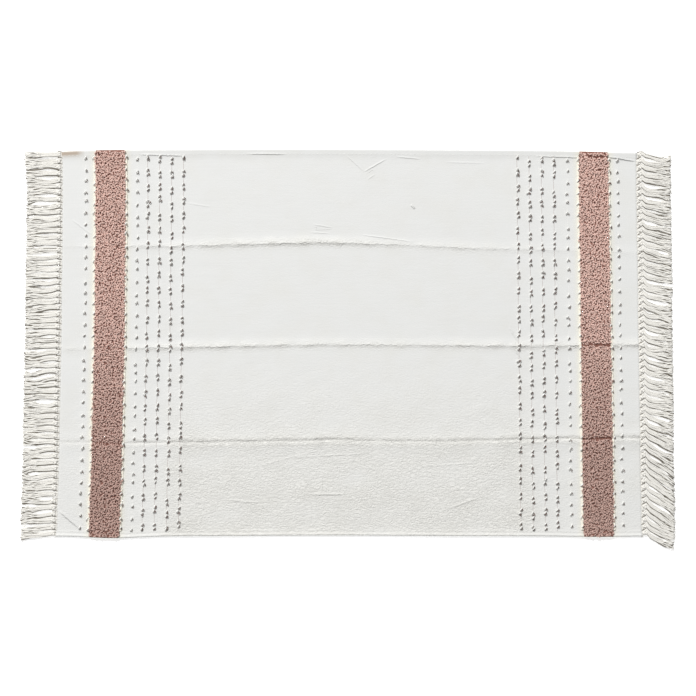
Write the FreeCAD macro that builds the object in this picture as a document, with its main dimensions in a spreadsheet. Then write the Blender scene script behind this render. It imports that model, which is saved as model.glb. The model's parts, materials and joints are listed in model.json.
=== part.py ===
"""A handwoven cotton bath mat: one flat-woven cloth, fringed at both ends.

The warp runs along X and the weft along Y. Near each end the cloth carries a band of looped pile
and eight rows of small loops, each row one extra weft thread pulled up into loops. The long edges
are turned under and stitched. The warp ends are gathered into tassels, each tied in a knot, and the
tassels of one end swing about the line of their knots.

Millimetres, +Z up. The origin is at the middle of the mat, on the plane that it lies on.
"""

import FreeCAD, Part
import math
import os

import Sketcher
from FreeCAD import Placement, Rotation, Vector

FOLDER = "parts"
ENDS = (("left", -1), ("right", 1))
LONG_EDGES = (("front", -1), ("back", 1))

# The driving dimensions: (alias, value, what it is).
DIMENSIONS = (
    ("mat_width", 600, "the mat across, hem to hem, along Y"),
    ("overall_length", 1000, "fringe tip to fringe tip, along X"),
    ("cloth_length", 892, "the woven cloth alone, along X"),
    ("cloth_thick", 2.2, "thickness of the flat weave"),
    ("hem_width", 9, "width of the turned hem"),
    ("hem_thick", 1.8, "thickness of the layer that the hem adds underneath"),
    ("hem_rise", 6, "stretch over which the cloth rises onto its hem"),
    ("hem_round", 0.8, "rounding of the hem's folded edge"),
    ("stitch_inset", 8, "seam line of the hem, in from the long edge"),
    ("stitch_long", 3.6, "length of one stitch"),
    ("stitch_wide", 0.6, "width of the sewing thread"),
    ("stitch_high", 0.4, "height of a stitch above the cloth"),
    ("stitch_pitch", 6, "distance from stitch to stitch"),
    ("left_band_inset", 51, "outer edge of the left pile band, in from the cloth's end"),
    ("right_band_inset", 46.5, "outer edge of the right pile band, in from the cloth's end"),
    ("band_width", 46, "width of the pile band"),
    ("pile_high", 4.2, "height of the pile above the cloth"),
    ("pile_round", 1.6, "rounding of the pile's upper edges"),
    ("edge_row_gap", 1.2, "an edging row, out from the pile band's edge"),
    ("outer_row_gap", 15.2, "outer loop row, out from the pile band's outer edge"),
    ("inner_row_gap", 18.6, "inner loop row, in from the pile band's inner edge"),
    ("double_row_inset", 132, "first double loop row, in from the cloth's end"),
    ("double_row_gap", 18.7, "distance between the double loop rows"),
    ("thread_wide", 1.4, "width of a loop row's thread"),
    ("thread_high", 0.6, "height of a loop row's thread above the cloth"),
    ("loop_outer", 3, "outer radius of a loop"),
    ("loop_inner", 1.5, "inner radius of a loop"),
    ("single_pitch", 17.3, "distance from loop to loop in a single row"),
    ("pair_pitch", 22.8, "distance from pair to pair in a double row"),
    ("pair_gap", 7, "distance between the two loops of a pair"),
    ("row_margin", 11, "last loop, in from the start of the hem's rise"),
    ("knot_round", 2.75, "radius of a fringe knot"),
    ("knot_wide", 6, "length of a fringe knot along Y"),
    ("knot_edge", 1, "slope at both ends of a knot"),
    ("neck_long", 1.5, "gathered warp ends between the cloth and the knot"),
    ("neck_wide", 4, "width of the gathered warp ends"),
    ("tassel_pitch", 10, "distance from tassel to tassel"),
    ("tassel_clear", 3.1, "start of a tassel, out from its knot's axis"),
    ("root_wide", 5, "width of a tassel where it leaves its knot"),
    ("tip_wide", 8.6, "width of a tassel at its tip"),
    ("tassel_high", 2.4, "height of a tassel"),
    ("tassel_edge", 0.7, "slope along a tassel's long edges"),
)
DOUBLE_ROWS = 4
TASSELS_IN_GROUP = 15
GROUPS_AT_AN_END = 4

doc = FreeCAD.newDocument("bath_mat")
sheet = doc.addObject("Spreadsheet::Sheet", "sizes")
for line, (alias, amount, words) in enumerate(DIMENSIONS, start=1):
    sheet.set(f"A{line}", words)
    sheet.set(f"B{line}", str(amount))
    sheet.setAlias(f"B{line}", alias)
doc.recompute()


class Size:
    """A length with the sheet expression that gives it, so that both stay the same sum."""

    def __init__(self, number, text):
        self.number = number
        self.text = text

    def __add__(self, other):
        other = as_size(other)
        return Size(self.number + other.number, f"({self.text} + {other.text})")

    def __sub__(self, other):
        other = as_size(other)
        return Size(self.number - other.number, f"({self.text} - {other.text})")

    def __mul__(self, factor):
        return Size(self.number * factor, f"{self.text} * {factor}")

    def __truediv__(self, divisor):
        return Size(self.number / divisor, f"{self.text} / {divisor}")

    def __neg__(self):
        return Size(-self.number, f"(0 - {self.text})")


def as_size(value):
    """A plain number as a Size; a Size as it is."""
    return value if isinstance(value, Size) else Size(value, str(value))


def size(alias):
    """The Size that a cell of the sheet holds."""
    return Size(float(sheet.get(alias)), f"sizes.{alias}")


HALF_WIDTH = size("mat_width") / 2
HALF_CLOTH = size("cloth_length") / 2
HEM_START = HALF_WIDTH - size("hem_width")
RISE_START = HEM_START - size("hem_rise")
HINGE = HALF_CLOTH + size("neck_long") + size("knot_round")


# Helpers for bodies, sketches and features


def bind(thing, path, amount):
    """Ties a property of a document object to the sheet."""
    thing.setExpression(path, as_size(amount).text)


def new_body(label, end=1, x=0, y=0, z=0):
    """A body whose local +X points outward from the middle of the mat, placed by the sheet."""
    body = doc.addObject("PartDesign::Body", label)
    body.Label = label
    turn = Rotation(Vector(0, 0, 1), 0 if end > 0 else 180)
    body.Placement = Placement(Vector(0, 0, 0), turn)
    for axis, amount in (("x", as_size(x) * end), ("y", y), ("z", z)):
        bind(body, f"Placement.Base.{axis}", amount)
    return body


def new_sketch(body, role, name, shift=(0, 0, 0)):
    """A sketch on one of the body's own origin planes, shifted within its own axes."""
    planes = [feature for feature in body.Origin.OriginFeatures if feature.Role == role]
    sketch = body.newObject("Sketcher::SketchObject", name)
    sketch.AttachmentSupport = [(planes[0], "")]
    sketch.MapMode = "FlatFace"
    for axis, amount in zip("xyz", shift):
        bind(sketch, f"AttachmentOffset.Base.{axis}", amount)
    return sketch


def pin_point(sketch, line, end, x, y):
    """Fixes a point of a sketch at x, y from its origin, both tied to the sheet."""
    for kind, amount in (("DistanceX", as_size(x)), ("DistanceY", as_size(y))):
        if amount.number < 0:
            rule = Sketcher.Constraint(kind, line, end, -1, 1, -amount.number)
            amount = -amount
        else:
            rule = Sketcher.Constraint(kind, -1, 1, line, end, amount.number)
        number = sketch.addConstraint(rule)
        bind(sketch, f"Constraints[{number}]", amount)


def draw_outline(sketch, corners):
    """A closed outline of straight lines through corners, each a pair of sizes."""
    points = [Vector(as_size(x).number, as_size(y).number, 0) for x, y in corners]
    first = sketch.GeometryCount
    count = len(points)
    for i, point in enumerate(points):
        sketch.addGeometry(Part.LineSegment(point, points[(i + 1) % count]), False)
    for i, (x, y) in enumerate(corners):
        before = first + (i - 1) % count
        sketch.addConstraint(Sketcher.Constraint("Coincident", before, 2, first + i, 1))
        pin_point(sketch, first + i, 1, x, y)


def draw_arch(sketch, middle):
    """Half a ring standing on the sketch's X axis, middle along it: one loop seen from the side."""
    outer, inner = size("loop_outer"), size("loop_inner")
    centre = Vector(middle.number, 0, 0)
    arcs = []
    for radius in (outer, inner):
        circle = Part.Circle(centre, Vector(0, 0, 1), radius.number)
        arc = sketch.addGeometry(Part.ArcOfCircle(circle, 0, math.pi), False)
        pin_point(sketch, arc, 3, middle, 0)
        number = sketch.addConstraint(Sketcher.Constraint("Radius", arc, radius.number))
        bind(sketch, f"Constraints[{number}]", radius)
        arcs.append(arc)
    for side, end in ((1, 1), (-1, 2)):
        start = Vector(middle.number + side * inner.number, 0, 0)
        stop = Vector(middle.number + side * outer.number, 0, 0)
        foot = sketch.addGeometry(Part.LineSegment(start, stop), False)
        sketch.addConstraint(Sketcher.Constraint("Coincident", foot, 1, arcs[1], end))
        sketch.addConstraint(Sketcher.Constraint("Coincident", foot, 2, arcs[0], end))
        sketch.addConstraint(Sketcher.Constraint("Horizontal", foot))


def add_pad(body, sketch, length, name="Pad", symmetric=True):
    """The sketch made solid, half its length to each side unless symmetric is false."""
    pad = body.newObject("PartDesign::Pad", name)
    pad.Profile = sketch
    pad.SideType = "Symmetric" if symmetric else "One side"
    bind(pad, "Length", length)
    body.Tip = pad
    doc.recompute()
    return pad


def add_fillet(body, base, radius, is_chosen):
    """Rounds the edges of base for which is_chosen(edge) holds."""
    chosen = [f"Edge{i}" for i, e in enumerate(base.Shape.Edges, start=1) if is_chosen(e)]
    fillet = body.newObject("PartDesign::Fillet", "Fillet")
    fillet.Base = (base, chosen)
    bind(fillet, "Radius", radius)
    body.Tip = fillet
    doc.recompute()
    return fillet


def add_row(body, originals, sketch, axis, pitch, count):
    """Repeats features count times, pitch apart, along an axis of the sketch."""
    pattern = body.newObject("PartDesign::LinearPattern", "Pattern")
    pattern.Originals = originals
    pattern.Direction = (sketch, [axis])
    pattern.Mode = "Spacing"
    bind(pattern, "Offset", pitch)
    pattern.Occurrences = count
    body.Tip = pattern
    doc.recompute()
    return pattern


def runs_along(edge, axis):
    """Whether a straight edge is parallel to an axis."""
    if not isinstance(edge.Curve, Part.Line):
        return False
    return abs(edge.tangentAt(edge.FirstParameter).dot(axis)) > 0.999


def count_along(length, pitch):
    """How many places pitch apart fit on a length."""
    return int(length.number // pitch.number) + 1


def layer_outline(low, high, reach):
    """The cross-section, in Y and Z, of a layer that follows the cloth over both of its hems.

    low and high are the layer's faces above the cloth's underside, and reach is how far out it goes.
    """
    rise = size("hem_thick")
    bottom = [(RISE_START, low), (HEM_START, low + rise), (reach, low + rise)]
    top = [(reach, high + rise), (HEM_START, high + rise), (RISE_START, high)]
    right = bottom + top
    return right + [(-y, z) for y, z in reversed(right)]


# The sub-parts


def make_cloth():
    """The one woven piece: flat in the middle, its long edges raised onto the hems."""
    body = new_body("ground_cloth")
    sketch = new_sketch(body, "YZ_Plane", "Section")
    draw_outline(sketch, layer_outline(as_size(0), size("cloth_thick"), HALF_WIDTH))
    add_pad(body, sketch, size("cloth_length"))
    return body


def make_hem(name, side):
    """The edge turned under the cloth, round where it is folded."""
    body = new_body(f"{name}_hem")
    sketch = new_sketch(body, "YZ_Plane", "Section")
    inner, outer, top = HEM_START * side, HALF_WIDTH * side, size("hem_thick")
    draw_outline(sketch, [(inner, 0), (outer, 0), (outer, top), (inner, top)])
    pad = add_pad(body, sketch, size("cloth_length"))

    def is_folded_edge(edge):
        place = edge.CenterOfMass
        lies_outside = abs(place.y - outer.number) < 0.01 and place.z < 0.01
        return lies_outside and runs_along(edge, Vector(1, 0, 0))

    add_fillet(body, pad, size("hem_round"), is_folded_edge)
    return body


def make_stitching(name, side):
    """The sewing thread of a hem, seen as a row of stitches on the cloth's face."""
    body = new_body(f"{name}_hem_stitching")
    run, pitch = size("stitch_long") / 2, size("stitch_pitch")
    half = size("stitch_wide") / 2
    seam = (HALF_WIDTH - size("stitch_inset")) * side
    count = count_along(size("cloth_length") - size("stitch_long") * 2, pitch)
    start = -(pitch * (count - 1) / 2)
    face = size("cloth_thick") + size("hem_thick")
    sketch = new_sketch(body, "XY_Plane", "Stitch", (start, seam, face))
    draw_outline(sketch, [(-run, -half), (run, -half), (run, half), (-run, half)])
    pad = add_pad(body, sketch, size("stitch_high"), symmetric=False)
    add_row(body, [pad], sketch, "H_Axis", pitch, count)
    return body


def make_band(name, end):
    """The band of looped pile, which runs the whole width and over both hems."""
    middle = HALF_CLOTH - size(f"{name}_band_inset") - size("band_width") / 2
    body = new_body(f"{name}_pile_band", end, x=middle)
    sketch = new_sketch(body, "YZ_Plane", "Section")
    low = size("cloth_thick")
    draw_outline(sketch, layer_outline(low, low + size("pile_high"), HALF_WIDTH))
    pad = add_pad(body, sketch, size("band_width"))
    edge_place = size("band_width").number / 2
    face = low.number + size("pile_high").number

    def is_upper_side(edge):
        place = edge.CenterOfMass
        at_side = abs(abs(place.x) - edge_place) < 0.01
        return at_side and place.z > face - 0.01

    add_fillet(body, pad, size("pile_round"), is_upper_side)
    return body


def make_loop_row(name, end, inset, arches, pitch):
    """One extra weft thread with its loops, inset from the cloth's end.

    arches are the places of a repeat's loops, and pitch is the distance from repeat to repeat.
    """
    body = new_body(name, end, x=HALF_CLOTH - inset)
    section = new_sketch(body, "YZ_Plane", "Thread")
    low = size("cloth_thick")
    reach = HALF_WIDTH - size("stitch_inset") - size("stitch_wide")
    draw_outline(section, layer_outline(low, low + size("thread_high"), reach))
    add_pad(body, section, size("thread_wide"), "ThreadPad")
    span = (RISE_START - size("row_margin")) * 2
    count = count_along(span, pitch)
    start = -(pitch * (count - 1) / 2)
    loops = new_sketch(body, "YZ_Plane", "Loops", (start, low + size("thread_high") / 2, 0))
    for middle in arches:
        draw_arch(loops, middle)
    pad = add_pad(body, loops, size("thread_wide"), "LoopPad")
    add_row(body, [pad], loops, "H_Axis", pitch, count)
    return body


def make_loop_rows(name, end):
    """The eight loop rows of one end, from the fringe inwards."""
    outer_edge = size(f"{name}_band_inset")
    inner_edge = outer_edge + size("band_width")
    single = [Size(0, "0")]
    pair = [-(size("pair_gap") / 2), size("pair_gap") / 2]
    rows = [
        ("outer_loop_row", outer_edge - size("outer_row_gap"), single, "single_pitch"),
        ("band_outer_edging", outer_edge - size("edge_row_gap"), single, "single_pitch"),
        ("band_inner_edging", inner_edge + size("edge_row_gap"), single, "single_pitch"),
        ("inner_loop_row", inner_edge + size("inner_row_gap"), single, "single_pitch"),
    ]
    for i in range(DOUBLE_ROWS):
        inset = size("double_row_inset") + size("double_row_gap") * i
        rows.append((f"double_loop_row_{i + 1}", inset, pair, "pair_pitch"))
    return [
        make_loop_row(f"{name}_{row}", end, inset, arches, size(pitch))
        for row, inset, arches, pitch in rows
    ]


def group_start(group):
    """Y of a group's first tassel: the groups share the mat's width evenly."""
    tassels = TASSELS_IN_GROUP * GROUPS_AT_AN_END
    return size("tassel_pitch") * (group * TASSELS_IN_GROUP - (tassels - 1) / 2)


def make_knots(name, end, group):
    """A group of knots with the gathered warp ends behind them, round about the hinge line."""
    start = group_start(group)
    body = new_body(f"{name}_knots_{group + 1}", end, x=HINGE, z=size("knot_round"))
    radius, half = size("knot_round"), size("knot_wide") / 2
    edge = size("knot_edge")
    first = start if end > 0 else -(start + size("tassel_pitch") * (TASSELS_IN_GROUP - 1))
    profile = new_sketch(body, "YZ_Plane", "Knot", (first, 0, 0))
    shoulder = radius - edge
    right = [(half, 0), (half, shoulder), (half - edge, radius)]
    draw_outline(profile, right + [(-y, z) for y, z in reversed(right)])
    knot = body.newObject("PartDesign::Revolution", "KnotTurn")
    knot.Profile = profile
    knot.ReferenceAxis = (profile, ["H_Axis"])
    knot.Angle = 360
    body.Tip = knot
    doc.recompute()
    neck_half = size("neck_wide") / 2
    neck = new_sketch(body, "YZ_Plane", "Neck", (first, -radius, -(radius + size("neck_long"))))
    top = size("cloth_thick")
    draw_outline(neck, [(-neck_half, 0), (neck_half, 0), (neck_half, top), (-neck_half, top)])
    neck_pad = add_pad(body, neck, radius + size("neck_long"), "NeckPad", symmetric=False)
    add_row(body, [knot, neck_pad], neck, "H_Axis", size("tassel_pitch"), TASSELS_IN_GROUP)
    return body


def make_tassels(name, end, group):
    """A group of tassels, each a flat bundle that widens from its knot to its tip."""
    start = group_start(group)
    body = new_body(f"{name}_tassels_{group + 1}", end, x=HINGE)
    first = start if end > 0 else -(start + size("tassel_pitch") * (TASSELS_IN_GROUP - 1))
    reach = size("overall_length") / 2 - HINGE
    edge, high = size("tassel_edge"), size("tassel_high")
    sections = []
    for label, place, wide in (
        ("Root", size("tassel_clear"), size("root_wide")),
        ("Tip", reach, size("tip_wide")),
    ):
        sketch = new_sketch(body, "YZ_Plane", label, (first, 0, place))
        half = wide / 2
        right = [(half - edge, 0), (half, edge), (half, high - edge), (half - edge, high)]
        draw_outline(sketch, right + [(-y, z) for y, z in reversed(right)])
        sections.append(sketch)
    bundle = body.newObject("PartDesign::AdditiveLoft", "Bundle")
    bundle.Profile = sections[0]
    bundle.Sections = [sections[1]]
    bundle.Ruled = True
    body.Tip = bundle
    doc.recompute()
    pitch = size("tassel_pitch")
    add_row(body, [bundle], sections[0], "H_Axis", pitch, TASSELS_IN_GROUP)
    return body


def make_mat():
    """Every sub-part of the mat, as a list of bodies."""
    bodies = [make_cloth()]
    for name, side in LONG_EDGES:
        bodies += [make_hem(name, side), make_stitching(name, side)]
    for name, end in ENDS:
        bodies.append(make_band(name, end))
        bodies += make_loop_rows(name, end)
        for group in range(GROUPS_AT_AN_END):
            bodies += [make_knots(name, end, group), make_tassels(name, end, group)]
    return bodies


def check(bodies):
    """Stops if any object failed to build or any sub-part isn't a valid solid."""
    doc.recompute()
    for thing in doc.Objects:
        if "Invalid" in thing.State or "Error" in thing.State:
            raise RuntimeError(f"{thing.Label} failed to build: {thing.State}")
    for body in bodies:
        shape = body.Shape
        if shape.isNull() or not shape.isValid() or not shape.Solids:
            raise RuntimeError(f"{body.Label} is not a valid solid")


mat = make_mat()
check(mat)
os.makedirs(FOLDER, exist_ok=True)
for sub_part in mat:
    sub_part.Shape.exportStep(os.path.join(FOLDER, f"{sub_part.Label}.step"))
    solids = len(sub_part.Shape.Solids)
    box = sub_part.Shape.BoundBox
    print(f"{sub_part.Label}: {solids} solids, {sub_part.Shape.Volume:.0f} mm3, "
          f"x {box.XMin:.1f}..{box.XMax:.1f} y {box.YMin:.1f}..{box.YMax:.1f} "
          f"z {box.ZMin:.2f}..{box.ZMax:.2f}")
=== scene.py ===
"""The looks of a handwoven cotton bath mat: woven cloth, hems, pile bands, loop rows, knots and tassels.

Every piece is worked out as if the mat were pressed flat, and then passes through lay(), which puts it
where the mat's folds and wrinkles leave it. Lengths are in metres. The left end of the mat is at -X.
"""

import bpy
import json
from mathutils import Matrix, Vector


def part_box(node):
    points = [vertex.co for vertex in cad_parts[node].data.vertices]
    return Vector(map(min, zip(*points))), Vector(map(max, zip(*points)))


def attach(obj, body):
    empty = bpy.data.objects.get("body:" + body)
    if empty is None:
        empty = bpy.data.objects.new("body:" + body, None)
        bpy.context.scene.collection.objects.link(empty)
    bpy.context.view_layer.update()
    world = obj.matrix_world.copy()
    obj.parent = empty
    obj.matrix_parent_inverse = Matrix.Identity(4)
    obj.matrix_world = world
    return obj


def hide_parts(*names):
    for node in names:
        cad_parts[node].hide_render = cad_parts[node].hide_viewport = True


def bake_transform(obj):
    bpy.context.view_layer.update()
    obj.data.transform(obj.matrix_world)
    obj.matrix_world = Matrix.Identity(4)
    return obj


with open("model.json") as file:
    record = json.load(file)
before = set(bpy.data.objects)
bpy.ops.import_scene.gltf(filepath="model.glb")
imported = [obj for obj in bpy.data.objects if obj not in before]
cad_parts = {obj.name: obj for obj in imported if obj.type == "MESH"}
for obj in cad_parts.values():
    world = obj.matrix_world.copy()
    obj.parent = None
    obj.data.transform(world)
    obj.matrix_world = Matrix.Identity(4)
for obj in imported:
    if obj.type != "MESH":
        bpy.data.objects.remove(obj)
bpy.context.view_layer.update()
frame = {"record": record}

import json
import math

import bpy
import numpy as np
from bpy.props import FloatProperty, FloatVectorProperty, IntProperty, PointerProperty
from bpy.types import Operator, Panel, PropertyGroup

bl_info = {
    "name": "Handwoven Bath Mat",
    "version": (1, 0, 0),
    "blender": (4, 5, 0),
    "location": "3D View > Sidebar > Bath Mat",
    "description": "Builds a fringed cotton bath mat with looped-pile bands",
    "category": "Object",
}

UP = np.array((0.0, 0.0, 1.0))
ENDS = (("left", -1), ("right", 1))
LONG_EDGES = (("front", -1), ("back", 1))
GROUPS = (1, 2, 3, 4)
TASSELS_IN_GROUP = 15
SINGLE_ROWS = ("outer_loop_row", "band_outer_edging", "band_inner_edging", "inner_loop_row")
DOUBLE_ROWS = tuple(f"double_loop_row_{number}" for number in (1, 2, 3, 4))


# Places read from the frame


def corners(node):
    """The lowest and highest corner of a CAD node, as arrays."""
    low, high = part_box(node)
    return np.array(low), np.array(high)


CLOTH_HIGH = corners("ground_cloth")[1]
HEM_LOW, HEM_HIGH = corners("back_hem")
HALF_LENGTH, HALF_WIDTH = CLOTH_HIGH[0], CLOTH_HIGH[1]
HEM_THICK = HEM_HIGH[2]
CLOTH_THICK = CLOTH_HIGH[2] - HEM_THICK
HEM_START = HEM_LOW[1]
SEAM = corners("back_hem_stitching")[0][1]
JOINTS = {joint["name"]: joint for joint in frame["record"]["behaviour"]["joints"]}
HINGE_X, HINGE_Z = (abs(JOINTS["right_fringe_fold"]["pos_m"][i]) for i in (0, 2))
TIP_X = corners("right_tassels_1")[1][0]
TASSEL_PITCH = 2 * HALF_WIDTH / (TASSELS_IN_GROUP * len(GROUPS))

# Where each family of random draws and lines starts. Pieces and lines of a family count up from it.
STITCH_SEED = 11
CRUMPLE_SEED = 31
CREST_SEED = 60
STRENGTH_SEED = 70
WAVE_SEED = 81
LAY_SEED = 90
PILE_SEED = 200
ROW_SEED = 300
KNOT_SEED = 500
SLOPE_SEED = 700
TASSEL_SEED = 720


# Settings


class ClothSettings(PropertyGroup):
    """How the cloth lies: its folds, wrinkles and hems"""

    step_along: FloatProperty(
        name="Step along", description="Grid step along the mat", default=0.004, unit="LENGTH"
    )
    step_across: FloatProperty(
        name="Step across", description="Grid step across the mat", default=0.0030, unit="LENGTH"
    )
    fine_step: FloatProperty(
        name="Fine step", description="Grid step across the mat at folds and hems",
        default=0.0010, unit="LENGTH",
    )
    hem_rise: FloatProperty(
        name="Hem rise", description="Stretch over which the cloth rises onto its hem",
        default=0.0032, unit="LENGTH",
    )
    fold_height: FloatProperty(
        name="Fold height", description="Height of the ridges left by storage folds",
        default=0.0015, unit="LENGTH",
    )
    wrinkle_height: FloatProperty(
        name="Wrinkle height", description="Height of the short, sharp wrinkles",
        default=0.0007, unit="LENGTH",
    )
    crinkle_height: FloatProperty(
        name="Crinkle height", description="Height of the fine crinkles all over the cloth",
        default=0.00088, unit="LENGTH",
    )
    wave_height: FloatProperty(
        name="Wave height", description="Height of the broad, soft waves",
        default=0.0005, unit="LENGTH",
    )


class PileSettings(PropertyGroup):
    """The bands of looped pile"""

    pitch: FloatProperty(
        name="Pitch", description="Distance from loop to loop", default=0.00234, unit="LENGTH"
    )
    yarn_radius: FloatProperty(
        name="Yarn radius", description="Radius of the pile yarn", default=0.00088, unit="LENGTH"
    )
    loop_height: FloatProperty(
        name="Loop height", description="Height of a pile loop", default=0.0036, unit="LENGTH"
    )


class LoopSettings(PropertyGroup):
    """The small loops of the loop rows"""

    width: FloatProperty(
        name="Width", description="Distance between a loop's feet", default=0.0044, unit="LENGTH"
    )
    height: FloatProperty(
        name="Height", description="Height of a loop", default=0.0036, unit="LENGTH"
    )
    yarn_radius: FloatProperty(
        name="Yarn radius", description="Radius of the loops' yarn", default=0.00085, unit="LENGTH"
    )
    strand_gap: FloatProperty(
        name="Strand gap", description="Distance from a loop's pale strand to its dark one",
        default=0.0017, unit="LENGTH",
    )
    rim_radius: FloatProperty(
        name="Rim radius", description="Radius of the cream yarns along the pile bands",
        default=0.00105, unit="LENGTH",
    )
    rim_offset: FloatProperty(
        name="Rim offset", description="How far outside its row's middle a pile band's rim lies",
        default=0.0003, unit="LENGTH",
    )
    single_pitch: FloatProperty(
        name="Single pitch", description="Distance from loop to loop in a single row",
        default=0.0173, unit="LENGTH",
    )
    pair_pitch: FloatProperty(
        name="Pair pitch", description="Distance from pair to pair in a double row",
        default=0.0228, unit="LENGTH",
    )
    pair_gap: FloatProperty(
        name="Pair gap", description="Distance between the two loops of a pair",
        default=0.0066, unit="LENGTH",
    )
    stray: FloatProperty(
        name="Stray", description="How far a loop strays along its row", default=0.0020, unit="LENGTH"
    )
    turn: FloatProperty(
        name="Turn", description="How far the loops are turned away from the mat's length",
        default=math.radians(58), subtype="ANGLE",
    )


class FringeSettings(PropertyGroup):
    """The knots and tassels"""

    yarns: IntProperty(name="Yarns", description="Pale yarns in a tassel", default=10, min=5)
    # Painted shadow: the grey yarns stand for the shade inside each tassel.
    shadow_yarns: IntProperty(
        name="Grey yarns", description="Grey yarns, painted as shadow, in the middle of a tassel, besides its pale ones",
        default=4, min=1, max=4,
    )
    yarn_radius: FloatProperty(
        name="Yarn radius", description="Radius of a warp yarn", default=0.00085, unit="LENGTH"
    )
    knot_yarn_radius: FloatProperty(
        name="Knot strand radius", description="Radius of the strand that a knot is tied with",
        default=0.00155, unit="LENGTH",
    )
    root: FloatProperty(
        name="Root width", description="Distance between a tassel's outer yarns at its knot",
        default=0.0068, unit="LENGTH",
    )
    spread: FloatProperty(
        name="Spread", description="Distance between a tassel's outer yarns at its tip",
        default=0.0088, unit="LENGTH",
    )


class Finishes(PropertyGroup):
    """The colours of the mat, in linear light"""

    cloth: FloatVectorProperty(
        name="Cloth", description="Cotton of the woven cloth", subtype="COLOR",
        default=(0.750, 0.752, 0.738),
    )
    cream: FloatVectorProperty(
        name="Cream", description="Cream cotton beside the pile bands", subtype="COLOR",
        default=(0.77, 0.755, 0.655),
    )
    # Painted light: the cloth is made lighter and warmer where it is crumpled, towards the front and along
    # the folds.
    crumpled: FloatVectorProperty(
        name="Crumpled cloth", description="Cloth where it is crumpled", subtype="COLOR",
        default=(0.815, 0.805, 0.765),
    )
    # Painted shadow: the brown-beige shade of the turned hem edge at the back left corner.
    hem_corner_shadow: FloatVectorProperty(
        name="Hem corner shadow", description="Painted shadow of the turned hem edge at one corner",
        subtype="COLOR", default=(0.44, 0.355, 0.275),
    )
    rim: FloatVectorProperty(
        name="Rim", description="Cream yarns along the pile bands", subtype="COLOR",
        default=(0.97, 0.93, 0.82),
    )
    pile: FloatVectorProperty(
        name="Pile", description="Dusty pink of the pile", subtype="COLOR",
        default=(0.885, 0.642, 0.567),
    )
    # Painted shade: the dark ground between the pile loops, also on loops sunk in folds and seams.
    pile_ground_shade: FloatVectorProperty(
        name="Pile ground", description="Painted shade of the ground between the pile loops", subtype="COLOR",
        default=(0.34, 0.165, 0.13),
    )
    pile_shade: FloatVectorProperty(
        name="Pile shade", description="Darker strand of the pile", subtype="COLOR",
        default=(0.66, 0.42, 0.35),
    )
    loop: FloatVectorProperty(
        name="Loop", description="Pale strand of the small loops", subtype="COLOR",
        default=(0.93, 0.925, 0.895),
    )
    # Partly real dark yarn, partly painted shadow beside each small loop.
    loop_shade: FloatVectorProperty(
        name="Loop shade", description="Dark strand of the small loops, partly painted shadow", subtype="COLOR",
        default=(0.145, 0.105, 0.085),
    )
    loop_rose: FloatVectorProperty(
        name="Loop rose", description="Rose strand twisted into the dark one", subtype="COLOR",
        default=(0.24, 0.105, 0.095),
    )
    thread: FloatVectorProperty(
        name="Row thread", description="Thread that joins the pairs of a double row", subtype="COLOR",
        default=(0.64, 0.58, 0.555),
    )
    # Painted shadow: the grey yarns inside the tassels and between the knots stand for shade.
    grey_fringe: FloatVectorProperty(
        name="Grey fringe", description="Yarns painted as shadow inside the tassels and between the knots", subtype="COLOR",
        default=(0.235, 0.21, 0.17),
    )
    fringe: FloatVectorProperty(
        name="Fringe", description="Cotton of the tassels", subtype="COLOR",
        default=(0.87, 0.85, 0.80),
    )
    floor: FloatVectorProperty(
        name="Floor", description="The floor", subtype="COLOR", default=(0.96, 0.96, 0.96)
    )


class StageSettings(PropertyGroup):
    """Camera and lights"""

    lens: FloatProperty(name="Lens", description="Focal length in millimetres", default=75.0)
    tilt: FloatProperty(
        name="Tilt", description="Camera's lean towards the front, away from straight down",
        default=math.radians(2.2), subtype="ANGLE",
    )
    view_width: FloatProperty(
        name="View width", description="Width of the view at the mat", default=1.0757, unit="LENGTH"
    )
    view_drop: FloatProperty(
        name="View drop", description="How far the view's middle lies in front of the mat's middle",
        default=0.0089, unit="LENGTH",
    )
    key_power: FloatProperty(
        name="Key light", description="Power of the key light in watts", default=740.0
    )
    key_size: FloatProperty(
        name="Key size", description="Side of the key light's square", default=1.3, unit="LENGTH"
    )
    key_distance: FloatProperty(
        name="Key distance", description="Distance of the key light", default=9.0, unit="LENGTH"
    )
    key_height: FloatProperty(
        name="Key height", description="How high the key light stands above the horizon",
        default=math.radians(46), subtype="ANGLE",
    )
    key_side: FloatProperty(
        name="Key side", description="How far the key light stands to the left of straight behind",
        default=math.radians(24), subtype="ANGLE",
    )
    fill: FloatProperty(name="Fill light", description="Strength of the even light", default=0.42)
    floor_glow: FloatProperty(
        name="Floor glow", description="Light that the floor gives off, as a light table does",
        default=0.42,
    )


# How the mat lies

# Each fold: shares of the half length, then for each its crest as a share of the half width and how
# strongly it shows. A negative strength is a groove.
FOLDS = (
    (
        (-1.0, -0.58, -0.11, 0.18, 0.42, 0.60, 1.0),
        (0.499, 0.497, 0.515, 0.503, 0.487, 0.481, 0.470),
        (0.08, 0.75, 1.30, 0.55, 0.60, 0.35, 0.25),
    ),
    (
        (-1.0, -0.56, -0.34, -0.10, 0.20, 0.60, 0.87),
        (-0.036, -0.027, -0.021, -0.014, -0.016, -0.020, -0.011),
        (0.15, 1.00, 0.90, 0.80, 0.65, 1.05, 1.15),
    ),
    (
        (-1.0, -0.56, -0.34, 0.0, 0.06, 0.32, 0.60, 0.90),
        (-0.515, -0.519, -0.517, -0.507, -0.516, -0.515, -0.503, -0.493),
        (-0.35, -0.90, -0.85, -1.00, -0.70, -0.80, -1.05, -1.20),
    ),
)

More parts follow.
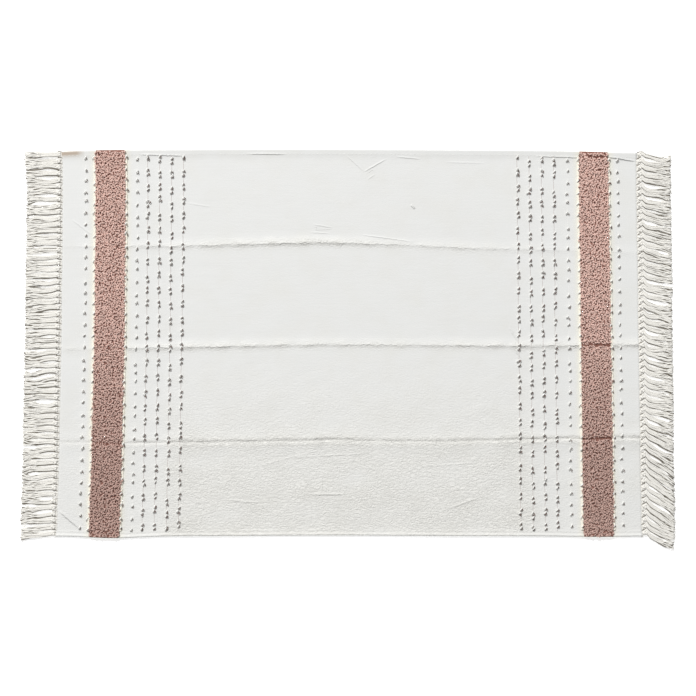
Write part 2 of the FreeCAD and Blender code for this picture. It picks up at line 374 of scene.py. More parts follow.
# Each wrinkle: its start and end as shares of the half length and half width, its height as a share
# of the usual one, and its width.
WRINKLES = (
    ((-0.012, 0.966), (0.050, 0.882), 0.8, 0.0011),
    ((0.048, 0.882), (0.123, 0.948), 1.2, 0.0011),
    ((0.060, 0.842), (0.085, 0.868), 0.6, 0.0010),
    ((-0.125, 0.607), (-0.060, 0.592), 0.8, 0.0010),
    ((-0.135, 0.567), (-0.070, 0.560), 0.7, 0.0010),
    ((0.040, 0.555), (0.215, 0.520), 0.9, 0.0010),
    ((0.210, 0.712), (0.224, 0.690), 2.2, 0.0014),
    ((-0.565, 0.720), (-0.480, 0.700), 0.5, 0.0012),
    ((0.160, 0.962), (0.245, 0.950), 0.9, 0.0011),
    ((0.330, 0.935), (0.470, 0.930), 0.5, 0.0012),
    ((-0.965, 0.640), (-0.900, 0.560), 0.7, 0.0013),
    ((-0.990, -0.870), (-0.920, -0.955), 2.2, 0.0016),
    ((0.545, 0.080), (0.580, -0.010), 1.0, 0.0012),
    ((0.560, -0.025), (0.585, -0.085), 1.0, 0.0012),
    ((-0.200, -0.600), (0.070, -0.575), 0.7, 0.0012),
    ((-0.140, -0.790), (0.000, -0.785), 1.3, 0.0016),
    ((-0.410, -0.815), (-0.300, -0.830), 0.9, 0.0016),
    ((0.330, -0.860), (0.440, -0.800), 1.0, 0.0015),
    ((0.240, -0.640), (0.420, -0.625), 0.6, 0.0012),
    ((-0.310, -0.640), (-0.100, -0.560), 0.6, 0.0013),
    ((0.895, 0.974), (0.995, 0.954), 2.6, 0.0012),
    ((0.640, 0.968), (0.830, 0.966), 1.6, 0.0011),
    ((-0.360, 0.975), (-0.220, 0.972), 1.3, 0.0011),
    ((-0.730, 0.974), (-0.570, 0.966), 1.6, 0.0011),
)

# How the left pile band bows along the mat: where, over what reach, and how far.
BAND_BOW = (-0.84, 0.24, 0.0032)

# How the whole mat lies askew: places along it, and how far its back and its front edge lie to the
# right of where they would if it were square.
ASKEW = (
    (-0.500, -0.446, -0.395, -0.250, 0.250, 0.350, 0.405, 0.446, 0.500),
    (0.0015, 0.0020, 0.0036, 0.0030, 0.0038, 0.0047, 0.0030, 0.0020, 0.0008),
    (-0.0035, -0.0026, -0.0026, -0.0032, 0.0076, 0.0082, 0.0082, 0.0060, 0.0022),
)

# How far the long edges stray outwards: side, place along as a share of the half length, reach, amount.
EDGE_BULGES = (
    (1, 0.0, 3.0, -0.0012),
    (1, -1.05, 0.12, -0.0030),
    (1, -0.20, 0.45, 0.0016),
    (1, 1.05, 0.30, -0.0042),
    (-1, 0.0, 3.0, -0.0016),
    (-1, -0.80, 0.12, 0.0030),
    (-1, -0.05, 0.35, -0.0012),
    (-1, 0.84, 0.12, 0.0012),
)

WAVE_SHARES = (1.0, 0.55, 0.3)  # strengths of the three sine waves of a random line
RIDGE_BEHIND, RIDGE_BEFORE = 0.0085, 0.0030  # width of a fold's ridge behind its crest and in front
GROOVE_WIDTH, SWELL_WIDTH = 0.0027, 0.014  # width of a fold's groove and of the swell that it lies in
CREST_STRAY = 0.0005  # how far a fold's crest strays from its line
FOLD_REACH, WRINKLE_REACH = 0.010, 0.004  # how far from a fold or a wrinkle its finish fades
FADE_START = 1.8  # over 1, so that the fade starts at 0.8 of the reach
FARTHEST = 0.03  # distances from a fold or wrinkle are noted up to here
FRONT_HEM_STEEP = 0.0036  # stretch over which the front hem rises near its edge
EDGE_ROUNDING = 0.0020  # how far inside the long edges the cloth reaches its full height
BACK_HEM_FOOT = 0.006  # how far inside its seam the back hem starts to rise


def smooth_step(value, low, high):
    """0 below low, 1 above high, and a smooth rise between them."""
    share = np.clip((value - low) / (high - low), 0, 1)
    return share * share * (3 - 2 * share)


def wander(value, seed, reach):
    """A smooth random line about 0: three sine waves of seeded pitch and phase, about reach long."""
    draw = np.random.default_rng(seed)
    total = np.zeros_like(value)
    for share in WAVE_SHARES:
        pitch = reach * share * draw.uniform(0.85, 1.15)
        total = total + share * np.sin(2 * math.pi * value / pitch + draw.uniform(0, 2 * math.pi))
    return total / sum(WAVE_SHARES)


def fold_crest(x, number):
    """Y of a fold's crest at places along the mat; it wanders a little."""
    places, crests, _ = FOLDS[number]
    line = HALF_WIDTH * np.interp(x / HALF_LENGTH, places, crests)
    return line + CREST_STRAY * wander(x, CREST_SEED + number, 0.07)


def fold_strength(x, number):
    """How strongly a fold shows at places along the mat."""
    places, _, strengths = FOLDS[number]
    uneven = 0.85 + 0.3 * wander(x, STRENGTH_SEED + number, 0.05)
    return np.interp(x / HALF_LENGTH, places, strengths) * uneven


def fold_shape(x, y, number):
    """The relief of one fold, from 0 to about 1.

    With d the distance from the crest, a ridge is exp(-(d / w)^2), with w small on the front side. A
    groove is a broad swell less a narrow one, so that it doesn't go below the floor.
    """
    away = y - fold_crest(x, number)
    strength = fold_strength(x, number)
    ridge = np.exp(-((away / np.where(away > 0, RIDGE_BEHIND, RIDGE_BEFORE)) ** 2))
    groove = np.exp(-((away / GROOVE_WIDTH) ** 2)) - np.exp(-((away / SWELL_WIDTH) ** 2))
    return strength * np.where(strength > 0, ridge, groove)


def creasing(x, y):
    """What the cloth's finish needs at each point: metres from the nearest fold, its strength, crumple.

    Crumple grows towards the front in soft patches, is weaker between the double rows of the two
    ends, and is strong along the folds.
    """
    aways = np.stack([y - fold_crest(x, number) for number in range(len(FOLDS))])
    strengths = np.stack([fold_strength(x, number) for number in range(len(FOLDS))])
    nearest = np.abs(aways).argmin(axis=0)[None]
    away = np.take_along_axis(aways, nearest, 0)[0]
    strength = np.take_along_axis(strengths, nearest, 0)[0]
    strength = strength * np.clip(FADE_START - np.abs(away) / FOLD_REACH, 0, 1)
    slanting, crossing = wander(x + 0.4 * y, CRUMPLE_SEED, 0.19), wander(y - 0.3 * x, CRUMPLE_SEED + 1, 0.10)
    patches = 0.5 + 0.5 * slanting * crossing
    front = smooth_step(-y / HALF_WIDTH, -0.05, 0.85)
    by_fold = np.exp(-((away / 0.007) ** 2)) * np.abs(strength)
    between_rows = 1 - 0.6 * smooth_step(np.abs(x), 0.26, 0.30)
    crumple = (0.12 + front * (0.45 + 0.75 * patches)) * between_rows + 0.8 * by_fold
    return np.stack((np.clip(away, -FARTHEST, FARTHEST), strength, crumple), axis=-1)


def wrinkling(x, y):
    """What the cloth's finish needs for the wrinkles: metres from the nearest, its strength, its width."""
    nearest = np.full(x.shape, np.inf)
    unmarked = (FARTHEST, 0.0, 0.001)
    noted = np.stack([np.full(x.shape, value) for value in unmarked], axis=-1)
    half = np.array((HALF_LENGTH, HALF_WIDTH))
    for first, last, height, width in WRINKLES:
        start, run = np.array(first) * half, (np.array(last) - first) * half
        length = math.hypot(*run)
        share = ((x - start[0]) * run[0] + (y - start[1]) * run[1]) / length**2
        aside = ((y - start[1]) * run[0] - (x - start[0]) * run[1]) / length
        beyond = length * np.clip(np.abs(share - 0.5) - 0.5, 0, None)
        reach = np.hypot(aside, beyond)
        strength = height * np.clip(1 - (2 * share - 1) ** 4, 0, None)
        strength = strength * np.clip(FADE_START - np.abs(aside) / WRINKLE_REACH, 0, 1)
        found = np.stack((aside, strength, np.full(x.shape, width)), axis=-1)
        noted = np.where((reach < nearest)[..., None], found, noted)
        nearest = np.minimum(nearest, reach)
    noted[..., 0] = np.clip(noted[..., 0], -FARTHEST, FARTHEST)
    return noted


def relief(x, y):
    """How far the cloth stands off the floor: folds, puckered hems and broad waves, never below 0."""
    cloth = bpy.context.scene.mat_cloth
    height = np.zeros_like(x)
    for number in range(len(FOLDS)):
        height = height + cloth.fold_height * fold_shape(x, y, number)
    frontness = 0.35 + 0.65 * smooth_step(-y, -0.3 * HALF_WIDTH, 0.5 * HALF_WIDTH)
    waves = 1 + 0.6 * wander(x + 0.3 * y, WAVE_SEED, 0.16) * wander(y - 0.2 * x, WAVE_SEED + 1, 0.075)
    waves = waves + 0.35 * wander(x - 0.5 * y, WAVE_SEED + 2, 0.06) * wander(y, WAVE_SEED + 3, 0.04)
    pucker = smooth_step(np.abs(y), 0.93 * HALF_WIDTH, 0.97 * HALF_WIDTH)
    pucker = pucker * (1 + 0.6 * wander(x, WAVE_SEED + 4, 0.045) + 0.4 * wander(x, WAVE_SEED + 5, 0.016))
    height = height + cloth.wave_height * (frontness * np.clip(waves, 0, None) + 0.5 * pucker)
    return np.clip(height, 0, None)


def lay(points, loft=1.0):
    """Moves points of the pressed mat to where they lie.

    They go along by how far the mat lies askew and its left band bows, across by how far its long
    edges stray, and up by the relief.
    points is (..., 3). loft is how much of the relief they take, from 0 to 1.
    """
    x, y = points[..., 0], points[..., 1]
    along, across = x / HALF_LENGTH, y / HALF_WIDTH
    strayed = np.zeros_like(y)
    for side, place, reach, amount in EDGE_BULGES:
        weight = np.clip((1 + side * across) / 2, 0, 1.1) ** 2
        strayed += side * amount * weight * np.exp(-(((along - place) / reach) ** 2))
    places, back, front = ASKEW
    backness = (1 + across) / 2
    askew = np.interp(x, places, back) * backness + np.interp(x, places, front) * (1 - backness)
    moved = points.copy()
    bow_place, bow_reach, bow_amount = BAND_BOW
    bow = bow_amount * np.exp(-(((along - bow_place) / bow_reach) ** 2)) * (1 - across**2)
    moved[..., 0] += askew + bow + 0.0004 * wander(y, LAY_SEED, 0.2) * along
    moved[..., 1] += strayed
    moved[..., 2] += loft * relief(x, y)
    return moved


def hem_lift(y):
    """How far the turned-under edge lifts the cloth.

    The back hem is pressed to 0.6 of its thickness: 0.5 as an even slope and 0.1 as a step at the
    seam. The front hem is full thickness: 0.2 as a step at the seam and 0.8 close to the edge.
    """
    rise = bpy.context.scene.mat_cloth.hem_rise
    away = np.abs(y)
    full = HALF_WIDTH - EDGE_ROUNDING
    gentle = np.clip((away - SEAM + BACK_HEM_FOOT) / (full - SEAM + BACK_HEM_FOOT), 0, 1)
    at_seam = smooth_step(away, SEAM - rise, SEAM + 0.0004)
    steep = 0.2 * at_seam + 0.8 * smooth_step(away, full - FRONT_HEM_STEEP, full)
    return HEM_THICK * np.where(y > 0, 0.50 * gentle + 0.10 * at_seam, steep)


def cloth_top(y):
    """Height of the pressed cloth's upper face: flat, rising smoothly onto the hem at the long edges."""
    return CLOTH_THICK + hem_lift(y)


# Meshes


def add_object(name, mesh, materials):
    """A shown object of a mesh, with its materials."""
    piece = bpy.data.objects.new(name, mesh)
    bpy.context.scene.collection.objects.link(piece)
    for material in materials:
        mesh.materials.append(material)
    return piece


def build_mesh(name, points, faces, uvs, slots=None):
    """A smooth mesh. faces and uvs are lists of tables, one row for each face and alike in length."""
    mesh = bpy.data.meshes.new(name)
    numbers = np.concatenate([table.ravel() for table in faces]).astype(np.int32)
    sizes = np.concatenate([np.full(len(table), table.shape[1]) for table in faces])
    mesh.vertices.add(len(points))
    mesh.vertices.foreach_set("co", points.astype(np.float32).ravel())
    mesh.loops.add(len(numbers))
    mesh.loops.foreach_set("vertex_index", numbers)
    mesh.polygons.add(len(sizes))
    mesh.polygons.foreach_set("loop_start", (np.cumsum(sizes) - sizes).astype(np.int32))
    mesh.polygons.foreach_set("use_smooth", np.ones(len(sizes), dtype=bool))
    if slots is not None:
        mesh.polygons.foreach_set("material_index", slots.astype(np.int32))
    layer = mesh.uv_layers.new(name="Along")
    flat = np.concatenate([table.reshape(-1, 2) for table in uvs])
    layer.data.foreach_set("uv", flat.astype(np.float32).ravel())
    mesh.update(calc_edges=True)
    mesh.validate()
    return mesh


START_STEP, START_RANGE = 0.0137, 0.05  # how the twist's start differs from tube to tube, in metres


def tubes(paths, radii, sides, reference=UP):
    """Closed tubes along many paths at once: points, face tables and UV tables.

    paths is (count, steps, 3) and radii fits (count, steps). At each step a ring of points stands
    square to the path: path + radius * (cos a * n + sin a * b), where n is the reference direction
    made square to the path's own direction t, and b = t x n. U runs once round the tube and V is the
    length along it in metres, from a start that differs from tube to tube.
    """
    count, steps, _ = paths.shape
    radii = np.broadcast_to(radii, (count, steps))
    runs = np.gradient(paths, axis=1)
    runs /= np.linalg.norm(runs, axis=2, keepdims=True)
    normals = reference - (reference * runs).sum(axis=2, keepdims=True) * runs
    normals /= np.linalg.norm(normals, axis=2, keepdims=True)
    sideways = np.cross(runs, normals)
    angles = 2 * math.pi * np.arange(sides) / sides
    around = (
        np.cos(angles)[:, None] * normals[:, :, None, :]
        + np.sin(angles)[:, None] * sideways[:, :, None, :]
    )
    points = paths[:, :, None, :] + radii[:, :, None, None] * around
    numbers = np.arange(count * steps * sides).reshape(count, steps, sides)
    after = np.roll(numbers, -1, axis=2)
    quads = np.stack(
        (numbers[:, :-1], after[:, :-1], after[:, 1:], numbers[:, 1:]), axis=-1
    ).reshape(-1, 4)
    lengths = np.linalg.norm(np.diff(paths, axis=1), axis=2).cumsum(axis=1)
    lengths = np.concatenate((np.zeros((count, 1)), lengths), axis=1)
    lengths = lengths + START_STEP * np.arange(count)[:, None] % START_RANGE
    low_u = np.broadcast_to(np.arange(sides) / sides, (count, steps - 1, sides))
    high_u = low_u + 1 / sides
    low_v = np.broadcast_to(lengths[:, :-1, None], low_u.shape)
    high_v = np.broadcast_to(lengths[:, 1:, None], low_u.shape)
    quad_u = np.stack((low_u, high_u, high_u, low_u), axis=-1)
    quad_v = np.stack((low_v, low_v, high_v, high_v), axis=-1)
    quad_uv = np.stack((quad_u, quad_v), axis=-1).reshape(-1, 4, 2)
    caps = np.concatenate((numbers[:, 0, ::-1], numbers[:, -1]))
    cap_v = np.concatenate((lengths[:, 0], lengths[:, -1]))
    cap_uv = np.zeros((len(caps), sides, 2))
    cap_uv[:, :, 1] = cap_v[:, None]
    return points.reshape(-1, 3), [quads, caps], [quad_uv, cap_uv]


def join_parts(parts):
    """One set of points, face tables and UV tables from several, with the material number of each face."""
    points, faces, uvs, slots, start = [], [], [], [], 0
    for slot, (part_points, part_faces, part_uvs) in parts:
        points.append(part_points)
        faces += [table + start for table in part_faces]
        uvs += part_uvs
        slots.append(np.full(sum(len(table) for table in part_faces), slot))
        start += len(part_points)
    return np.concatenate(points), faces, uvs, np.concatenate(slots)


def swept_outline(top, bottom, places, shift):
    """A closed outline in the YZ plane carried along X, with both ends closed.

    top and bottom are (n, 2), both from the same side to the other. The top may be finer: each bottom
    step faces an equal number of top steps, and one end face joins them. shift puts the points where
    they lie. UV is the place on the pressed mat, in metres.
    """
    outline = np.concatenate((top, bottom[::-1]))
    count, steps = len(outline), len(places)
    flat = np.empty((steps, count, 3))
    flat[..., 0] = places[:, None]
    flat[..., 1:] = outline[None]
    numbers = np.arange(steps * count).reshape(steps, count)
    after = np.roll(numbers, -1, axis=1)
    sides = np.stack((numbers[:-1], after[:-1], after[1:], numbers[1:]), axis=-1).reshape(-1, 4)
    ratio = (len(top) - 1) // (len(bottom) - 1)
    upper = ratio * np.arange(len(bottom) - 1)[:, None] + np.arange(ratio + 1)
    lower = count - 1 - np.arange(len(bottom) - 1)[:, None] - np.array((1, 0))
    rim = np.concatenate((upper, lower), axis=1)
    ends = np.concatenate((numbers[0][rim[:, ::-1]], numbers[-1][rim]))
    plan = flat.reshape(-1, 3)[:, :2]
    return shift(flat).reshape(-1, 3), [sides, ends], [plan[sides], plan[ends]]


def make_faces_point_out(mesh):
    """Turns a closed mesh the right way round if its volume comes out negative."""
    count = len(mesh.polygons)
    points = np.empty(len(mesh.vertices) * 3, dtype=np.float32)
    mesh.vertices.foreach_get("co", points)
    mesh.calc_loop_triangles()
    corners_of = np.empty(len(mesh.loop_triangles) * 3, dtype=np.int32)
    mesh.loop_triangles.foreach_get("vertices", corners_of)
    a, b, c = points.reshape(-1, 3)[corners_of.reshape(-1, 3)].transpose(1, 0, 2)
    if count and (a * np.cross(b, c)).sum() < 0:
        mesh.flip_normals()
    return mesh


def add_piece(name, parts, materials, body, nodes, bend_zone=None):
    """A piece made of parts that rides on a body, takes a finish slot and stands for CAD nodes.

    A bend zone is two points, which are not used: with one, the piece's transform is baked in and it
    doesn't ride on the body.
    """
    points, faces, uvs, slots = join_parts(parts)
    mesh = make_faces_point_out(build_mesh(name, points, faces, uvs, slots))
    piece = add_object(name, mesh, materials)
    if bend_zone:
        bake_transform(piece)
    else:
        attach(piece, body)
    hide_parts(*nodes)
    return piece


# Materials


def add_node(tree, kind, inputs=None, **settings):
    """A node with its settings made, and each named input set to a value or linked to a socket."""
    node = tree.nodes.new(kind)
    for name, value in settings.items():
        setattr(node, name, value)
    for name, value in (inputs or {}).items():
        socket = node.inputs[name]
        if isinstance(value, bpy.types.NodeSocket):
            tree.links.new(value, socket)
        else:
            socket.default_value = value
    return node


def compute(tree, operation, first, second=0.0, third=0.0):
    """The result of a Math node."""
    inputs = {0: first, 1: second, 2: third}
    return add_node(tree, "ShaderNodeMath", inputs, operation=operation).outputs[0]


def vector_math(tree, operation, first, second):
    """The vector that a Vector Math node makes of two."""
    return add_node(tree, "ShaderNodeVectorMath", {0: first, 1: second}, operation=operation).outputs[0]


def map_range(tree, value, low, high, to_low=0.0, to_high=1.0, smooth=False):
    """A value's place between low and high, brought to between to_low and to_high."""
    inputs = {"Value": value, "From Min": low, "From Max": high, "To Min": to_low, "To Max": to_high}
    kind = "SMOOTHSTEP" if smooth else "LINEAR"
    return add_node(tree, "ShaderNodeMapRange", inputs, interpolation_type=kind).outputs[0]


def noise(tree, vector, scale, detail, **more):
    """Noise of a scale and detail at a vector, from 0 to 1."""
    inputs = {"Vector": vector, "Scale": scale, "Detail": detail, **more}
    return add_node(tree, "ShaderNodeTexNoise", inputs).outputs["Fac"]


def separate(tree, vector):
    """The x, y and z of a vector."""
    return add_node(tree, "ShaderNodeSeparateXYZ", {0: vector}).outputs


def blend_colours(tree, factor, first, second):
    """The result of mixing two colours."""
    node = add_node(tree, "ShaderNodeMix", data_type="RGBA")
    for number, value in ((0, factor), (6, first), (7, second)):
        socket = node.inputs[number]
        if isinstance(value, bpy.types.NodeSocket):
            tree.links.new(value, socket)
        else:
            socket.default_value = value if number == 0 else (*value, 1)
    return node.outputs[2]


def darker(colour, share):
    """A colour with each channel brought down to a share of itself."""
    return tuple(share * channel for channel in colour)


def new_group(name, inputs, outputs):
    """A shader node group: its tree, input node and output node. Sockets are (name, kind, default)."""
    tree = bpy.data.node_groups.new(name, "ShaderNodeTree")
    for direction, sockets in (("INPUT", inputs), ("OUTPUT", outputs)):
        for label, kind, default in sockets:
            socket = tree.interface.new_socket(label, in_out=direction, socket_type=kind)
            if default is not None:
                socket.default_value = default
    return tree, tree.nodes.new("NodeGroupInput"), tree.nodes.new("NodeGroupOutput")


def use_group(tree, group, inputs):
    """A node that places a group in a material."""
    node = tree.nodes.new("ShaderNodeGroup")
    node.node_tree = group
    for name, value in inputs.items():
        socket = node.inputs[name]
        if isinstance(value, bpy.types.NodeSocket):
            tree.links.new(value, socket)
        else:
            socket.default_value = value
    return node


def make_twist_group():
    """Plied yarn: slanting grooves round a tube, with a mask that tells one ply from the next."""
    group, given, made = new_group(
        "Yarn Twist",
        [
            ("Vector", "NodeSocketVector", None),
            ("Turn Length", "NodeSocketFloat", 0.006),
            ("Plies", "NodeSocketFloat", 2.0),
        ],
        [("Height", "NodeSocketFloat", None), ("Ply", "NodeSocketFloat", None)],
    )
    around, along, _ = separate(group, given.outputs["Vector"])
    turns = compute(group, "DIVIDE", along, given.outputs["Turn Length"])
    phase = compute(group, "ADD", around, turns)
    phase = compute(group, "MULTIPLY", phase, given.outputs["Plies"])
    half_turn = compute(group, "MULTIPLY", phase, math.pi)
    groove = compute(group, "ABSOLUTE", compute(group, "SINE", half_turn))
    height = compute(group, "POWER", groove, 0.6)
    ply = compute(group, "SINE", half_turn)
    group.links.new(height, made.inputs["Height"])
    group.links.new(map_range(group, ply, -0.35, 0.35, smooth=True), made.inputs["Ply"])
    return group


def make_weave_group():
    """Plain weave: weft over warp in a checker of rounded bumps, with the warp as the stronger ribs."""
    group, given, made = new_group(
        "Plain Weave",
        [
            ("Vector", "NodeSocketVector", None),
            ("Rib Pitch", "NodeSocketFloat", 0.0016),
            ("Weft Pitch", "NodeSocketFloat", 0.0021),
            ("Wander", "NodeSocketFloat", 0.0006),
        ],
        [("Height", "NodeSocketFloat", None), ("Streaks", "NodeSocketFloat", None)],
    )
    slow = add_node(
        group, "ShaderNodeTexNoise", {"Vector": given.outputs["Vector"], "Scale": 75.0, "Detail": 2.0}
    )
    centred = vector_math(group, "SUBTRACT", slow.outputs["Color"], (0.5, 0.5, 0.5))
    stray = add_node(
        group, "ShaderNodeVectorMath", {0: centred, "Scale": given.outputs["Wander"]}, operation="SCALE"
    )
    bent = vector_math(group, "ADD", given.outputs["Vector"], stray.outputs[0])
    x, y, _ = separate(group, bent)
    across = compute(group, "DIVIDE", y, given.outputs["Rib Pitch"])
    along = compute(group, "DIVIDE", x, given.outputs["Weft Pitch"])
    rib = compute(group, "ABSOLUTE", compute(group, "SINE", compute(group, "MULTIPLY", across, math.pi)))
    weft = compute(group, "SINE", compute(group, "MULTIPLY", along, 2 * math.pi))
    sign = compute(group, "SIGN", compute(group, "SINE", compute(group, "MULTIPLY", across, math.pi)))
    crossing = compute(group, "MULTIPLY", compute(group, "MULTIPLY", weft, sign), 0.35)
    height = compute(group, "ADD", compute(group, "MULTIPLY", rib, 0.65), crossing)
    group.links.new(height, made.inputs["Height"])
    long_way = vector_math(group, "MULTIPLY", given.outputs["Vector"], (16.0, 420.0, 1.0))
    group.links.new(noise(group, long_way, 1.0, 3.0), made.inputs["Streaks"])
    return group


def make_fuzz_group():
    """Cotton fuzz: fine noise for the bump, and broad mottling for the colour."""
    group, given, made = new_group(
        "Cotton Fuzz",
        [("Vector", "NodeSocketVector", None), ("Scale", "NodeSocketFloat", 900.0)],
        [("Height", "NodeSocketFloat", None), ("Mottle", "NodeSocketFloat", None)],
    )
    fine = noise(group, given.outputs["Vector"], given.outputs["Scale"], 4.0)
    broad = noise(group, given.outputs["Vector"], 22.0, 4.0)
    group.links.new(fine, made.inputs["Height"])
    group.links.new(broad, made.inputs["Mottle"])
    return group


def effect_group(name, maker):
    """A node group by name, made the first time that it's asked for."""
    return bpy.data.node_groups.get(name) or maker()


def start_material(name, roughness=0.95, sheen=0.0):
    """A material's tree and its Principled node, with the constants set on the shader itself."""
    material = bpy.data.materials.new(name)
    material.use_nodes = True
    tree = material.node_tree
    shader = next(node for node in tree.nodes if node.type == "BSDF_PRINCIPLED")
    shader.inputs["Roughness"].default_value = roughness
    shader.inputs["Sheen Weight"].default_value = sheen
    shader.inputs["Specular IOR Level"].default_value = 0.25
    return material, tree, shader


def connect_bump(tree, shader, height, distance, strength=1.0):
    """A Bump node on a height that reaches the shader's normal."""
    bump = add_node(
        tree, "ShaderNodeBump", {"Height": height, "Distance": distance, "Strength": strength}
    )
    tree.links.new(bump.outputs["Normal"], shader.inputs["Normal"])


def bell(tree, away, width):
    """exp(-(away / width)^2), in nodes."""
    ratio = compute(tree, "DIVIDE", away, width)
    square = compute(tree, "MULTIPLY", ratio, ratio)
    return compute(tree, "EXPONENT", compute(tree, "MULTIPLY", square, -1.0))


def make_crease_group():
    """Fine crinkles, the sharp, ragged line along each storage fold, and the short wrinkles.

    A line is exp(-(d / w)^2), with d the distance from it, strayed by noise. Behind a fold w is three
    times as wide as in front of it. Crinkles are the ridges (1 - |2n - 1|)^4 of a noise n that is
    longer along the mat than across it, with fine specks added.
    """
    group, given, made = new_group(
        "Creases",
        [
            ("Vector", "NodeSocketVector", None),
            ("Distance", "NodeSocketFloat", 0.0),
            ("Strength", "NodeSocketFloat", 0.0),
            ("Crumple", "NodeSocketFloat", 0.0),
            ("Wrinkle Distance", "NodeSocketFloat", 0.0),
            ("Wrinkle Strength", "NodeSocketFloat", 0.0),
            ("Wrinkle Width", "NodeSocketFloat", 0.001),
        ],
        [
            ("Fold Height", "NodeSocketFloat", None),
            ("Crinkle Height", "NodeSocketFloat", None),
            ("Wrinkle Height", "NodeSocketFloat", None),
        ],
    )
    inputs = given.outputs
    longer = vector_math(group, "MULTIPLY", inputs["Vector"], (150.0, 260.0, 1.0))
    centred = compute(group, "SUBTRACT", noise(group, longer, 1.0, 3.0), 0.5)
    away = compute(group, "MULTIPLY_ADD", centred, 0.0060, inputs["Distance"])
    behind = compute(group, "GREATER_THAN", away, 0.0)
    line = bell(group, away, compute(group, "MULTIPLY_ADD", behind, 0.0018, 0.0009))
    shown = map_range(group, noise(group, inputs["Vector"], 60.0, 3.0), 0.40, 0.60, to_low=0.1)
    line = compute(group, "MULTIPLY", compute(group, "MULTIPLY", line, inputs["Strength"]), shown)
    group.links.new(line, made.inputs["Fold Height"])
    away = compute(group, "MULTIPLY_ADD", centred, 0.0020, inputs["Wrinkle Distance"])
    line = bell(group, away, inputs["Wrinkle Width"])
    line = compute(group, "MULTIPLY", line, inputs["Wrinkle Strength"])
    group.links.new(line, made.inputs["Wrinkle Height"])
    stretched = vector_math(group, "MULTIPLY", inputs["Vector"], (120.0, 250.0, 1.0))
    crinkled = noise(group, stretched, 1.0, 4.0, Roughness=0.6, Distortion=0.4)
    folded = compute(group, "ABSOLUTE", compute(group, "MULTIPLY_ADD", crinkled, 2.0, -1.0))
    ridges = compute(group, "POWER", compute(group, "SUBTRACT", 1.0, folded), 4.0)
    specks = noise(group, inputs["Vector"], 420.0, 2.0)
    rough = compute(group, "MULTIPLY_ADD", specks, 0.9, compute(group, "MULTIPLY", ridges, 0.8))
    crinkle = compute(group, "MULTIPLY", rough, inputs["Crumple"])
    group.links.new(crinkle, made.inputs["Crinkle Height"])
    return group


def make_cloth_material():
    """Off-white plain weave: streaky along the warp, crinkled, and creamier beside the pile bands."""
    finishes, cloth = bpy.context.scene.mat_finishes, bpy.context.scene.mat_cloth
    material, tree, shader = start_material("Woven cotton", sheen=0.05)
    place = add_node(tree, "ShaderNodeUVMap", uv_map="Along").outputs[0]
    notes = add_node(tree, "ShaderNodeAttribute", attribute_name="Creasing")
    away, strength, crumple = separate(tree, notes.outputs["Vector"])
    lines = add_node(tree, "ShaderNodeAttribute", attribute_name="Wrinkling")
    aside, depth, width = separate(tree, lines.outputs["Vector"])
    weave = use_group(tree, effect_group("Plain Weave", make_weave_group), {"Vector": place})
    fuzz = use_group(tree, effect_group("Cotton Fuzz", make_fuzz_group), {"Vector": place})
    creases = use_group(
        tree, effect_group("Creases", make_crease_group),
        {
            "Vector": place, "Distance": away, "Strength": strength, "Crumple": crumple,
            "Wrinkle Distance": aside, "Wrinkle Strength": depth,
            "Wrinkle Width": compute(tree, "MAXIMUM", width, 0.0005),
        },
    )
    x, y, _ = separate(tree, place)
    cream = compute(tree, "ADD", *(beside_band(tree, x, f"{end}_pile_band") for end, _ in ENDS))
    base = blend_colours(tree, cream, finishes.cloth, finishes.cream)
    shade = darker(finishes.cloth, 0.93)
    streak = map_range(tree, weave.outputs["Streaks"], 0.42, 0.72, to_high=0.3)
    base = blend_colours(tree, streak, base, shade)
    warm = tuple(channel * tint for channel, tint in zip(finishes.cloth, (0.955, 0.94, 0.90)))
    # Painted light: lighter, warmer colour where the cloth is crumpled, towards the front and along the
    # folds.
    crumple_light = map_range(tree, crumple, 0.1, 1.1, to_high=0.95)
    base = blend_colours(tree, crumple_light, base, finishes.crumpled)
    mottle = map_range(tree, fuzz.outputs["Mottle"], 0.45, 0.75, to_high=0.4)
    base = blend_colours(tree, mottle, base, warm)
    # Painted shadow of the turned hem edge at the back left corner.
    corner_shadow = compute(tree, "MULTIPLY", hem_corner_shadow_mask(tree, x, y), 0.9)
    base = blend_colours(tree, corner_shadow, base, finishes.hem_corner_shadow)
    tree.links.new(base, shader.inputs["Base Color"])
    height = compute(tree, "MULTIPLY", creases.outputs["Crinkle Height"], cloth.crinkle_height)
    height = compute(tree, "MULTIPLY_ADD", creases.outputs["Fold Height"], 1.6 * cloth.wrinkle_height, height)
    weave_depth, fuzz_depth = 0.00004, 0.00007
    height = compute(tree, "MULTIPLY_ADD", weave.outputs["Height"], weave_depth, height)
    height = compute(tree, "MULTIPLY_ADD", fuzz.outputs["Height"], fuzz_depth, height)
    height = compute(
        tree, "MULTIPLY_ADD", creases.outputs["Wrinkle Height"], cloth.wrinkle_height, height
    )
    connect_bump(tree, shader, height, 1.0)
    return material


def beside_band(tree, x, node):
    """How near the cloth is to a pile band, from 0, past the reach of its cream yarns, to 0.85 under it."""
    low, high = corners(node)
    middle, half, reach = float(low[0] + high[0]) / 2, float(high[0] - low[0]) / 2, 0.013
    out = compute(tree, "ABSOLUTE", compute(tree, "SUBTRACT", x, middle))
    return map_range(tree, out, half, half + reach, to_low=0.85, to_high=0.0, smooth=True)


def hem_corner_shadow_mask(tree, x, y):
    """Where the painted shadow of the turned hem edge lies beside the back hem's seam, at the left end, from
    0 to 1.
    """
    middle = (0.5 * (HALF_WIDTH + SEAM), 0.55 * (HALF_WIDTH - SEAM))
    near_seam = bell(tree, compute(tree, "SUBTRACT", y, float(middle[0])), float(middle[1]))
    near_end = map_range(tree, x, -0.92 * float(HALF_LENGTH), -0.95 * float(HALF_LENGTH))
    return compute(tree, "MULTIPLY", near_seam, near_end)


